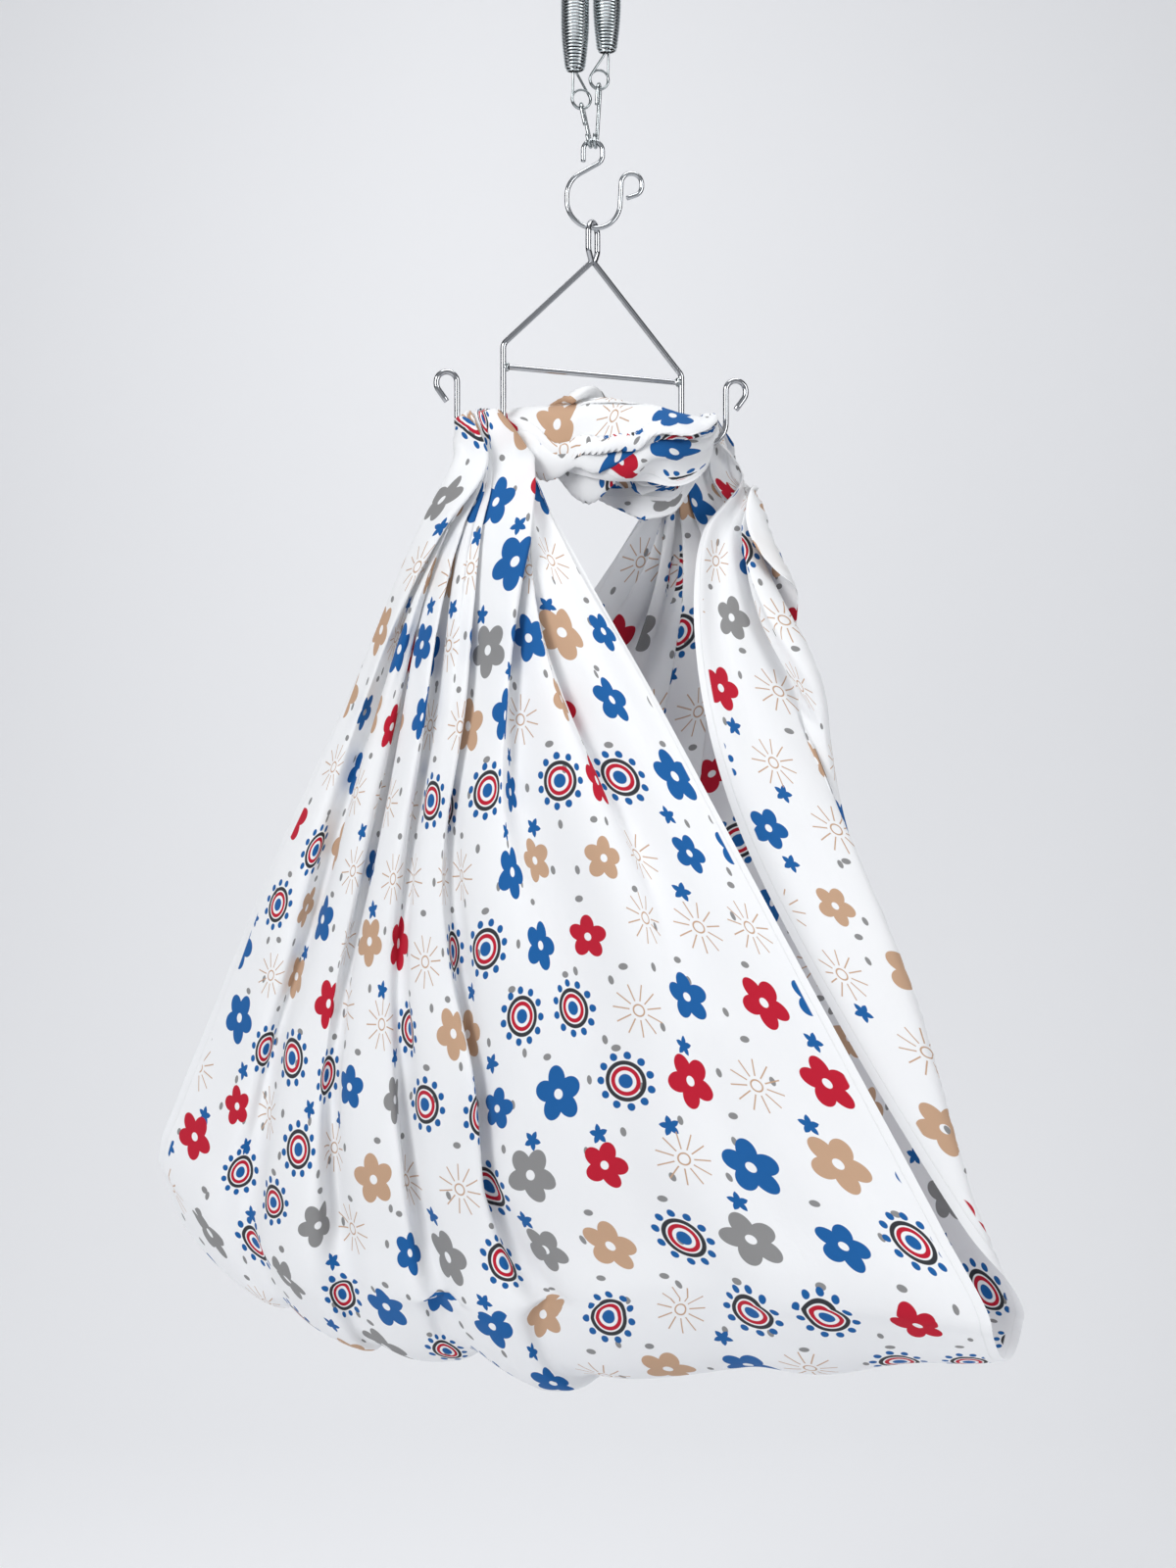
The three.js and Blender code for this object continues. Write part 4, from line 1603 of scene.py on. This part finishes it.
class Sling:
    """The hung cloth tube: rungs round its loop, each buckled into folds of its true length.

    Args:
        shape: how it hangs.
        floor_z: the height of the bundles' floor above the hanger hooks, in the row frame.
    """

    def __init__(self, shape: SlingShape, floor_z: float) -> None:
        """Sets the points across a rung and the directions of the trough."""
        self.shape = shape
        self.floor_z = floor_z
        self.shares = np.linspace(1.0, -1.0, shape.samples)
        turn = math.radians(shape.axis_turn)
        self.axis = np.array((math.cos(turn), -math.sin(turn), 0.0))
        self.side = np.array((math.sin(turn), math.cos(turn), 0.0))
        self.random = np.random.default_rng(RIPPLE_SEED)

    def hook_rungs(self) -> tuple[list[Rung], list[Rung], list[Rung]]:
        """The rungs over the left hook, along the swag and over the right hook.

        Each row holds a rung's centre, turn, tilt, half, rise, sweep, fold and lean.

        Returns:
            The three groups, in order round the loop.
        """
        x = self.shape.hook_x
        left = [
            Rung((-x + 9, -26.0, -26.0), 0.0, 80.0, 33.0, -9.0, 95.0, 0.38, 0.9),
            Rung((-x + 4, -22.0, 6.0), 0.0, 46.0, 24.0, -22.0, 125.0, 0.32, 0.7),
            Rung((-x, -2.0, 28.0), 0.0, 4.0, 18.0, -24.0, 150.0, 0.18, 0.1),
            Rung((-x + 4, 14.0, 28.0), 22.0, -8.0, 17.0, -25.0, 150.0, 0.20, 0.1),
        ]
        swag = [
            Rung((-98.0, 27.0, 29.0), 66.0, 0.0, 17.0, -30.0, 150.0, 0.28, 0.2),
            Rung((-52.0, 17.0, 38.0), 88.0, 0.0, 25.0, -62.0, 132.0, 0.42, 0.8),
            Rung((-5.0, 3.0, 45.0), 96.0, 0.0, 31.0, -84.0, 130.0, 0.48, 0.8),
            Rung((45.0, -14.0, 36.0), 98.0, 0.0, 31.0, -82.0, 130.0, 0.48, 0.8),
            Rung((84.0, -27.0, 26.0), 92.0, 0.0, 24.0, -74.0, 132.0, 0.42, 0.8),
            Rung((106.0, -23.0, 22.0), 55.0, 8.0, 18.0, -50.0, 140.0, 0.28, 0.2),
        ]
        right = [
            Rung((x - 2, -11.0, 26.0), 16.0, 0.0, 16.0, -33.0, 150.0, 0.20, 0.1),
            Rung((x, 2.0, 28.0), 0.0, 0.0, 17.0, -24.0, 150.0, 0.18, 0.1),
            Rung((x + 5, 22.0, 6.0), 0.0, -46.0, 26.0, -22.0, 125.0, 0.32, 0.7),
            Rung((x + 9, 26.0, -26.0), 0.0, -80.0, 35.0, -9.0, 95.0, 0.38, 0.9),
        ]
        return left, swag, right

    def trough(self) -> list[np.ndarray]:
        """The trough that the two panels meet in.

        Returns:
            Its rungs' points, from its left side down and up to its right side.
        """
        s = self.shape
        near = self.shares > 0
        length = np.abs(self.shares)
        along = s.shift + self.shares * (s.half_length - np.where(near, s.near_short, s.far_short))
        end_share = np.where(near, s.near_width_share, s.far_width_share)
        wide = s.half_width * (1 - (1 - end_share) * length**2)
        lift = np.where(near, s.near_lift * length**s.near_power, s.far_lift * length**s.far_power)
        height = s.height * np.where(near, 1 - (1 - s.near_height_share) * length**3, 1.0)
        hollow = s.tuck * np.exp(-(((along - s.tuck_place) / s.tuck_reach) ** 2))
        rungs = []
        for angle in np.linspace(0.0, math.pi, s.trough_rows):
            across = s.offset - wide * math.cos(angle)
            z = lift - s.drop + hollow * math.sin(angle) + height * math.cos(angle) ** 2
            rungs.append(along[:, None] * self.axis + across[:, None] * self.side + _heights(z))
        return rungs

    def panel(
        self, top: np.ndarray, foot: np.ndarray, outward: float, curled: bool
    ) -> list[np.ndarray]:
        """A panel's rungs from a hook down to the trough.

        Args:
            top: the rung at the hook.
            foot: the rung at the trough's edge.
            outward: 1 or -1, the side of the trough's axis that the panel bulges to.
            curled: whether its near hem curls in towards the left.

        Returns:
            The rungs' points.
        """
        s = self.shape
        rungs = []
        for share in np.linspace(0.0, 1.0, s.panel_rows + 1)[1:-1]:
            curl = s.curl * math.sin(math.pi * share**s.curl_power) if curled else 0.0
            kept = curl / s.width
            place = (1.0 - self.shares) / 2
            ray = np.clip((place - kept) / (1 - kept), 0.0, 1.0)
            over = np.clip(kept - place, 0.0, None) * s.width
            index = ray * (s.samples - 1)
            line = _at(top, index) * (1 - share) + _at(foot, index) * share
            bow = math.sin(math.pi * share**s.bulge_power) * s.bulge * (1 - (1 - 2 * ray) ** 2)
            line = line + outward * bow[:, None] * self.side
            line = line + over[:, None] * np.array(CURL_WAY)
            swing = s.far_bow * math.sin(math.pi * share**2) * ray**5
            line = line - swing[:, None] * self.axis
            rungs.append(_rounded(line, 2 if curled else 0))
        return rungs

    def skeleton(self) -> tuple[np.ndarray, np.ndarray]:
        """The whole loop.

        Returns:
            Every rung's points, and each one's share of fold depth and its lean.
        """
        s = self.shape
        left, swag, right = self.hook_rungs()
        hung = [*left[2:], *swag, *right]
        rungs = [rung.points(self.shares) for rung in hung]
        folds = [(rung.fold, rung.lean) for rung in hung]
        trough = self.trough()
        right_panel = self.panel(rungs[-1], trough[-1], outward=1.0, curled=True)
        front = [rung.points(self.shares) for rung in left[:2]]
        left_panel = self.panel(front[0], trough[0], outward=-1.0, curled=False)
        rungs += right_panel + trough[::-1] + left_panel[::-1] + front
        count = len(right_panel)
        down = [(i + 1) / (count + 1) for i in range(count)]
        room = np.interp(down, s.fold_shares, s.depth_shares)
        falling = [(float(share), s.lean) for share in room]
        angles = np.linspace(0.0, math.pi, s.trough_rows)
        under = [(1.0 - s.trough_ease * math.sin(angle), s.lean) for angle in angles]
        folds += falling + under + falling[::-1]
        folds += [(rung.fold, rung.lean) for rung in left[:2]]
        stack = np.array(rungs)
        stack[:, :, 2] += self.floor_z
        return stack, np.array(folds)

    def fold_lines(self) -> tuple[np.ndarray, np.ndarray, np.ndarray]:
        """How the folds turn the cloth at each column.

        Returns:
            The turning of the broad folds, the share of it that is left far down, and the
            turning of the fine creases.
        """
        s = self.shape
        t = np.linspace(0.0, 1.0, s.columns + 1)
        phase = _phase(t, s.valleys)
        turning = np.sin(2 * math.pi * phase) + s.sharp * np.sin(4 * math.pi * phase)
        turning *= np.interp(phase, np.arange(len(s.fold_weights)) + 0.5, s.fold_weights)
        turning *= 1 - s.hem_ease * np.exp(-((t / s.hem_reach) ** 2))
        kept = np.zeros_like(t)
        for place, weight in s.main_folds:
            kept = np.maximum(kept, weight * np.exp(-(((t - place) / s.fold_reach) ** 2)))
        creases = s.crease_share * np.sin(2 * math.pi * _phase(t, s.creases))
        return turning / np.abs(turning).max(), kept, creases

    def buckled(self, length: float, turning: np.ndarray) -> tuple[np.ndarray, np.ndarray]:
        """The folds of one rung: distances along it and away from it.

        Args:
            length: the rung's length, in millimetres.
            turning: how far the cloth turns off the rung at each column, for folds of any depth.

        Returns:
            The distances at each column, for folds that take up all of the cloth's width.
        """
        s = self.shape
        step = s.width / s.columns
        least, most = 0.0, STEEPEST_FOLD
        for _ in range(HALVINGS):
            middle = (least + most) / 2
            reach = float(np.cos(turning * middle).mean()) * s.width
            least, most = (middle, most) if reach > length else (least, middle)
        angle = turning * least
        between = (angle[1:] + angle[:-1]) / 2
        along = _summed(np.cos(between)) * step
        away = _summed(np.sin(between)) * step
        away -= np.linspace(away[0], away[-1], len(away))
        away -= away.mean()
        squeeze = length / along[-1]
        return along * squeeze, away * min(1.0, squeeze**0.25)

    def twist(self, round_at: float) -> tuple[float, float, float]:
        """How the folds change round the loop.

        Args:
            round_at: the place round the loop.

        Returns:
            How far the folds have drifted across the cloth, how uneven and how creased they are.
        """
        s = self.shape
        from_swag = round_at - s.swag_place
        swag = math.exp(-((from_swag / s.swag_reach) ** 2))
        drift = s.drift * math.sin(2 * math.pi * (round_at * 2.0 + 0.1))
        drift += s.swag_turn * from_swag * swag
        return drift, s.uneven + s.swag_uneven * swag, 1.0 + s.swag_crease * swag

    def surface(self) -> np.ndarray:
        """The cloth with its folds.

        Returns:
            Its vertices, row by row round the loop.
        """
        s = self.shape
        stack, folds = self.skeleton()
        base, depth, round_at = _round_the_loop(stack, folds, s.rows)
        normal = _normals(base)
        lines = self.fold_lines()
        places = np.empty((s.rows, s.columns + 1, 3))
        for row in range(s.rows):
            wave = self.wave(base[row], lines, round_at[row])
            places[row] = self.folded(base[row], normal[row], wave, depth[row])
        return places

    def wave(
        self, line: np.ndarray, lines: tuple[np.ndarray, np.ndarray, np.ndarray], round_at: float
    ) -> np.ndarray:
        """The turning of the cloth at each column of one row.

        Args:
            line: the row's line without folds.
            lines: what fold_lines returns.
            round_at: the row's place round the loop.

        Returns:
            The turning.
        """
        s = self.shape
        turning, kept, creases = lines
        t = np.linspace(0.0, 1.0, s.columns + 1)
        below = self.floor_z - line[:, 2].mean()
        low = float(np.clip((below - s.fade_start) / s.fade_length, 0.0, 1.0))
        drift, uneven, creased = self.twist(round_at)
        across, around = s.uneven_waves
        place = t + drift * s.drift_share
        place += uneven * np.sin(2 * math.pi * (across * t + around * round_at))
        wave = np.interp(np.abs(place), t, turning) * (1 - low * (1 - kept))
        return wave + np.interp(np.abs(place), t, creases) * creased * (1 - low) ** 2

    def folded(
        self, line: np.ndarray, normal: np.ndarray, wave: np.ndarray, depth: np.ndarray
    ) -> np.ndarray:
        """The vertices of one row.

        Args:
            line: the row's line without folds.
            normal: the cloth's normals along it.
            wave: the turning of the cloth at each column.
            depth: the share of the folds' depth that it has room for, and their lean.

        Returns:
            The vertices.
        """
        lengths = _summed(np.linalg.norm(np.diff(line, axis=0), axis=1))
        along, away = self.buckled(lengths[-1], wave)
        share, lean = depth
        t = np.linspace(0.0, 1.0, self.shape.columns + 1)
        from_hem = np.clip(LEAN_ONSET * np.minimum(t, 1 - t), 0.0, 1.0)
        spot = along - away * lean * math.sqrt(1 - share**2) * from_hem
        over = spot - np.clip(spot, 0.0, lengths[-1])
        ends = np.where(over[:, None] < 0, line[1] - line[0], line[-1] - line[-2])
        ends /= np.linalg.norm(ends, axis=1)[:, None]
        places = np.empty((len(t), 3))
        for axis in range(3):
            places[:, axis] = np.interp(spot, lengths, line[:, axis]) + ends[:, axis] * over
            places[:, axis] += np.interp(spot, lengths, normal[:, axis]) * away * share
        return places

    def ripples(self, places: np.ndarray, v: np.ndarray) -> np.ndarray:
        """Small uneven waves of the thin cloth, along its normals.

        Args:
            places: the cloth's vertices.
            v: each row's way round the loop, in millimetres.

        Returns:
            The moved vertices.
        """
        s = self.shape
        u = np.linspace(0.0, s.width, s.columns + 1)[None, :]
        v = v[:, None]
        height = np.zeros(places.shape[:2])
        for _ in range(RIPPLES):
            across = self.random.uniform(*RIPPLE_ACROSS)
            along = self.random.uniform(*RIPPLE_ALONG)
            phase = self.random.uniform(0.0, 2 * math.pi)
            lean = self.random.choice((-1.0, 1.0))
            turns = u / across + lean * v / along
            height += np.sin(2 * math.pi * turns + phase) * across / RIPPLE_FLATNESS
        height *= RIPPLE_SHARE
        return places + _normals(places) * height[:, :, None]

    def mesh(self, places: np.ndarray, v: np.ndarray) -> bpy.types.Mesh:
        """The cloth's mesh, with its flat pattern as its map.

        Args:
            places: the vertices, row by row.
            v: each row's way round the loop, in millimetres, and the whole loop's length.

        Returns:
            The mesh.
        """
        s = self.shape
        wide = s.columns + 1
        faces, map_u, map_v = [], [], []
        u = np.linspace(0.0, s.width, wide) * MM
        for row in range(s.rows):
            after = (row + 1) % s.rows
            low, high = v[row] * MM, v[row + 1] * MM
            for k in range(s.columns):
                a, b = row * wide + k, after * wide + k
                faces.append((a, a + 1, b + 1, b))
                map_u.extend((u[k], u[k + 1], u[k + 1], u[k]))
                map_v.extend((low, low, high, high))
        mesh = bpy.data.meshes.new("sling_cloth")
        mesh.from_pydata((places.reshape(-1, 3) * MM).tolist(), [], faces)
        layer = mesh.uv_layers.new(name="flat_cloth")
        layer.data.foreach_set("uv", np.stack((map_u, map_v), axis=1).ravel())
        mesh.shade_smooth()
        mesh.materials.append(cloth_material(ClothFinish(), s.width * MM))
        return mesh

    def build(self) -> bpy.types.Object:
        """Hangs the cloth as one open-ended tube.

        Returns:
            Its object.
        """
        places = self.surface()
        steps = np.linalg.norm(np.roll(places, -1, axis=0) - places, axis=2).mean(axis=1)
        v = _summed(steps)
        cloth = placed("sling_cloth", self.mesh(self.ripples(places, v[:-1]), v))
        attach(cloth, "hanger")
        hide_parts("cloth_swag", "cloth_left_panel", "cloth_right_panel", "cloth_trough")
        return cloth


def _summed(steps: np.ndarray) -> np.ndarray:
    """The way to each point from the first, for the steps between them."""
    return np.concatenate(([0.0], np.cumsum(steps)))


def _phase(t: np.ndarray, valleys: tuple[float, ...]) -> np.ndarray:
    """How many folds lie before each place across the cloth, with the steps between them eased.

    Args:
        t: the places, evenly spaced from 0 to 1.
        valleys: the places of the valleys between folds.

    Returns:
        The number at each place.
    """
    phase = np.interp(t, valleys, np.arange(len(valleys)))
    kernel = np.hanning(2 * FOLD_EASE + 1)
    padded = np.pad(phase, FOLD_EASE, mode="reflect", reflect_type="odd")
    return np.convolve(padded, kernel / kernel.sum(), "valid")


def _heights(z: np.ndarray) -> np.ndarray:
    """Points at heights above the origin."""
    return np.stack((np.zeros_like(z), np.zeros_like(z), z), axis=1)


def _at(line: np.ndarray, index: np.ndarray) -> np.ndarray:
    """A line's points at fractional indices."""
    whole = np.arange(len(line))
    return np.stack([np.interp(index, whole, line[:, axis]) for axis in range(3)], axis=1)


def _rounded(line: np.ndarray, passes: int) -> np.ndarray:
    """A line with its corners eased.

    Args:
        line: the line's points.
        passes: how often each point is drawn towards its neighbours.

    Returns:
        The eased points.
    """
    for _ in range(passes):
        inner = (line[:-2] + 2 * line[1:-1] + line[2:]) / 4
        line = np.concatenate((line[:1], inner, line[-1:]))
    return line


def _round_the_loop(
    stack: np.ndarray, folds: np.ndarray, rows: int
) -> tuple[np.ndarray, np.ndarray, np.ndarray]:
    """Lines at even steps round the closed loop, through the given rungs.

    Args:
        stack: the rungs' points.
        folds: the rungs' share of fold depth, and their lean.
        rows: the number of lines.

    Returns:
        The lines, their shares and leans, and their places round the loop from 0 to 1.
    """
    count = len(stack)
    gaps = np.linalg.norm(np.roll(stack, -1, axis=0) - stack, axis=2).mean(axis=1)
    knots = _summed(gaps)
    total = knots[-1]
    slope = np.empty_like(stack)
    for i in range(count):
        before, after = gaps[i - 1], gaps[i]
        rise_before = (stack[i] - stack[i - 1]) / before
        rise_after = (stack[(i + 1) % count] - stack[i]) / after
        slope[i] = (rise_before * after + rise_after * before) / (before + after)
    out = np.empty((rows, *stack.shape[1:]))
    depth = np.empty((rows, folds.shape[1]))
    places = np.arange(rows) * total / rows
    for row, place in enumerate(places):
        i = int(np.searchsorted(knots, place, side="right") - 1)
        j = (i + 1) % count
        h = gaps[i]
        x = (place - knots[i]) / h
        out[row] = (
            (2 * x**3 - 3 * x**2 + 1) * stack[i]
            + (x**3 - 2 * x**2 + x) * h * slope[i]
            + (3 * x**2 - 2 * x**3) * stack[j]
            + (x**3 - x**2) * h * slope[j]
        )
        depth[row] = folds[i] * (1 - x) + folds[j] * x
    return out, depth, places / total


def _normals(grid: np.ndarray) -> np.ndarray:
    """The directions out of the loop.

    Args:
        grid: the places of a grid that is closed along its first direction.

    Returns:
        The unit normal at each of them.
    """
    around = np.roll(grid, -1, axis=0) - np.roll(grid, 1, axis=0)
    across = np.gradient(grid, axis=1)
    normal = np.cross(around, across)
    normal /= np.maximum(np.linalg.norm(normal, axis=2), LEAST_LENGTH)[:, :, None]
    return normal


# Studio


@dataclass(frozen=True)
class SoftBox:
    """One light, placed right, away and up of the hanger in the camera's view, in metres.

    Args:
        name: its name.
        place: where it stands.
        size: its width and height.
        power: its power, in watts.
        aim: the point that it faces.
    """

    name: str
    place: tuple[float, float, float]
    size: tuple[float, float]
    power: float
    aim: tuple[float, float, float] = (0.0, 0.0, -0.5)


SOFT_BOXES = (
    SoftBox("key", (-1.9, -2.2, 0.7), (1.1, 1.8), 62.0),
    SoftBox("fill", (2.3, -1.9, 0.4), (1.0, 1.8), 30.0),
    SoftBox("top", (0.2, -0.3, 1.9), (1.8, 1.2), 26.0),
    SoftBox("wall", (0.0, 1.6, 2.4), (3.6, 1.0), 58.0, aim=(0.0, 5.0, -0.6)),
)


@dataclass(frozen=True)
class Studio:
    """The camera, the backdrop and the lights. Lengths are in metres.

    Args:
        turn: how far the camera stands to the left of the hanger's front, in degrees.
        distance: its distance from the hanger.
        height: its height in the row frame.
        aside: how far the hanger's middle lies right of the picture's middle.
        lens: the camera's focal length, in millimetres.
        sensor: the width of its picture, in millimetres.
        clip_end: how far the camera sees.
        hanger_z: the height that the lights and flags are placed from.
        floor_z: the height of the studio's floor.
        floor_near: where the floor begins, on the camera's side.
        floor_far: where it starts to curve up.
        bend: the radius of that curve.
        bend_steps: how many steps the curve has.
        wall_top: the height of the wall above the floor.
        half_width: half the backdrop's width.
        paper: the backdrop's colour.
        flag_aside: how far the flags stand left and right of the hanger.
        flag_depth: where a flag begins and ends, away from the camera.
        flag_height: where it begins and ends above hanger_z.
        flag_color: the flags' colour.
        surrounding: the colour of the light from all round.
        surrounding_power: its strength.
    """

    turn: float = 10.6
    distance: float = 2.5
    height: float = -1.0913
    aside: float = 0.005
    lens: float = 75.0
    sensor: float = 36.0
    clip_end: float = 60.0
    hanger_z: float = -0.75
    floor_z: float = -2.45
    floor_near: float = -6.0
    floor_far: float = 2.6
    bend: float = 2.4
    bend_steps: int = 24
    wall_top: float = 9.0
    half_width: float = 9.0
    paper: tuple[float, float, float] = (0.885, 0.89, 0.905)
    flag_aside: float = 1.0
    flag_depth: tuple[float, float] = (-0.5, 0.75)
    flag_height: tuple[float, float] = (-0.15, 1.6)
    flag_color: tuple[float, float, float] = (0.02, 0.02, 0.024)
    surrounding: tuple[float, float, float] = (0.90, 0.92, 0.96)
    surrounding_power: float = 0.42

    def toward(self) -> Vector:
        """The camera's level line of sight."""
        turn = math.radians(self.turn)
        return Vector((math.sin(turn), math.cos(turn), 0.0))

    def rightward(self) -> Vector:
        """The picture's direction to the right."""
        turn = math.radians(self.turn)
        return Vector((math.cos(turn), -math.sin(turn), 0.0))

    def spot(self, right: float, away: float, z: float) -> Vector:
        """The place right and away of the hanger in the camera's view, at a height."""
        return self.rightward() * right + self.toward() * away + Vector((0.0, 0.0, z))

    def camera(self) -> None:
        """Places the camera level, in front of the cradle."""
        data = bpy.data.cameras.new("camera")
        data.sensor_fit = "HORIZONTAL"
        data.sensor_width = self.sensor
        data.lens = self.lens
        data.clip_end = self.clip_end
        camera = placed("camera", data)
        camera.location = self.spot(-self.aside, -self.distance, self.height)
        camera.rotation_euler = (math.pi / 2, 0.0, -math.radians(self.turn))
        bpy.context.scene.camera = camera

    def staged(
        self, name: str, built: bmesh.types.BMesh, paint: bpy.types.Material
    ) -> bpy.types.Object:
        """Puts a sheet into the studio, which is no part of the cradle.

        Args:
            name: its name.
            built: its bmesh.
            paint: its material.

        Returns:
            The object.
        """
        mesh = finished_mesh(name, built)
        mesh.materials.append(paint)
        sheet = placed(name, mesh)
        return sheet

    def backdrop(self) -> None:
        """A pale floor that curves up into a wall."""
        built = bmesh.new()
        near = [
            built.verts.new(self.spot(right, self.floor_near, self.floor_z))
            for right in (-self.half_width, self.half_width)
        ]
        floor = self.toward() * (self.floor_far - self.floor_near)
        edges = drawn_out(built, [built.edges.new(near)], floor)
        bent = bmesh.ops.spin(
            built,
            geom=[*edges, *edges[0].verts],
            cent=self.spot(0.0, self.floor_far, self.floor_z + self.bend),
            axis=self.rightward(),
            angle=math.pi / 2,
            steps=self.bend_steps,
            use_duplicate=False,
        )["geom_last"]
        edges = [part for part in bent if isinstance(part, bmesh.types.BMEdge)]
        drawn_out(built, edges, Vector((0.0, 0.0, self.wall_top - self.bend)))
        bmesh.ops.recalc_face_normals(built, faces=built.faces)
        if sum(face.normal.z for face in built.faces) < 0:
            bmesh.ops.reverse_faces(built, faces=built.faces)
        self.staged("backdrop", built, painted_material("backdrop_paper", self.paper, True))

    def flags(self) -> None:
        """Dark cards, unseen themselves, that draw edges into the polished wire."""
        dark = painted_material("flag_cloth", self.flag_color)
        low, high = self.flag_height
        for name, right in (("left_flag", -self.flag_aside), ("right_flag", self.flag_aside)):
            built = bmesh.new()
            foot = [
                built.verts.new(self.spot(right, away, self.hanger_z + low))
                for away in self.flag_depth
            ]
            drawn_out(built, [built.edges.new(foot)], Vector((0.0, 0.0, high - low)))
            self.staged(name, built, dark).visible_camera = False

    def light(self, box: SoftBox) -> None:
        """Sets one soft box, unseen itself.

        Args:
            box: the light.
        """
        data = bpy.data.lights.new(box.name, "AREA")
        data.shape = "RECTANGLE"
        data.size, data.size_y = box.size
        data.energy = box.power
        light = placed(box.name, data)
        spot, target = (
            self.spot(right, away, self.hanger_z + up) for right, away, up in (box.place, box.aim)
        )
        light.location = spot
        light.rotation_euler = (target - spot).to_track_quat("-Z", "Y").to_euler()
        light.visible_camera = False

    def surroundings(self) -> None:
        """A pale light from all round, shown with plain contrast."""
        world = bpy.data.worlds.new("surroundings")
        world.use_nodes = True
        background = world.node_tree.nodes["Background"]
        background.inputs["Color"].default_value = (*self.surrounding, 1.0)
        background.inputs["Strength"].default_value = self.surrounding_power
        bpy.context.scene.world = world
        bpy.context.scene.view_settings.view_transform = "Standard"

    def build(self) -> None:
        """Sets the whole studio."""
        self.camera()
        self.backdrop()
        self.flags()
        for box in SOFT_BOXES:
            self.light(box)
        self.surroundings()


def main() -> None:
    """Builds the cradle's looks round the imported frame."""
    logging.basicConfig(level=logging.INFO)
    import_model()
    Studio().build()
    sizes = Hardware()
    sling = Sling(SlingShape(), sizes.rod_hook_z + sizes.rod / 2)
    for shown in (*Metalwork(sizes).build(), sling.build()):
        LOG.info("%s: %d faces", shown.name, len(shown.data.polygons))


if __name__ == "__main__":
    main()
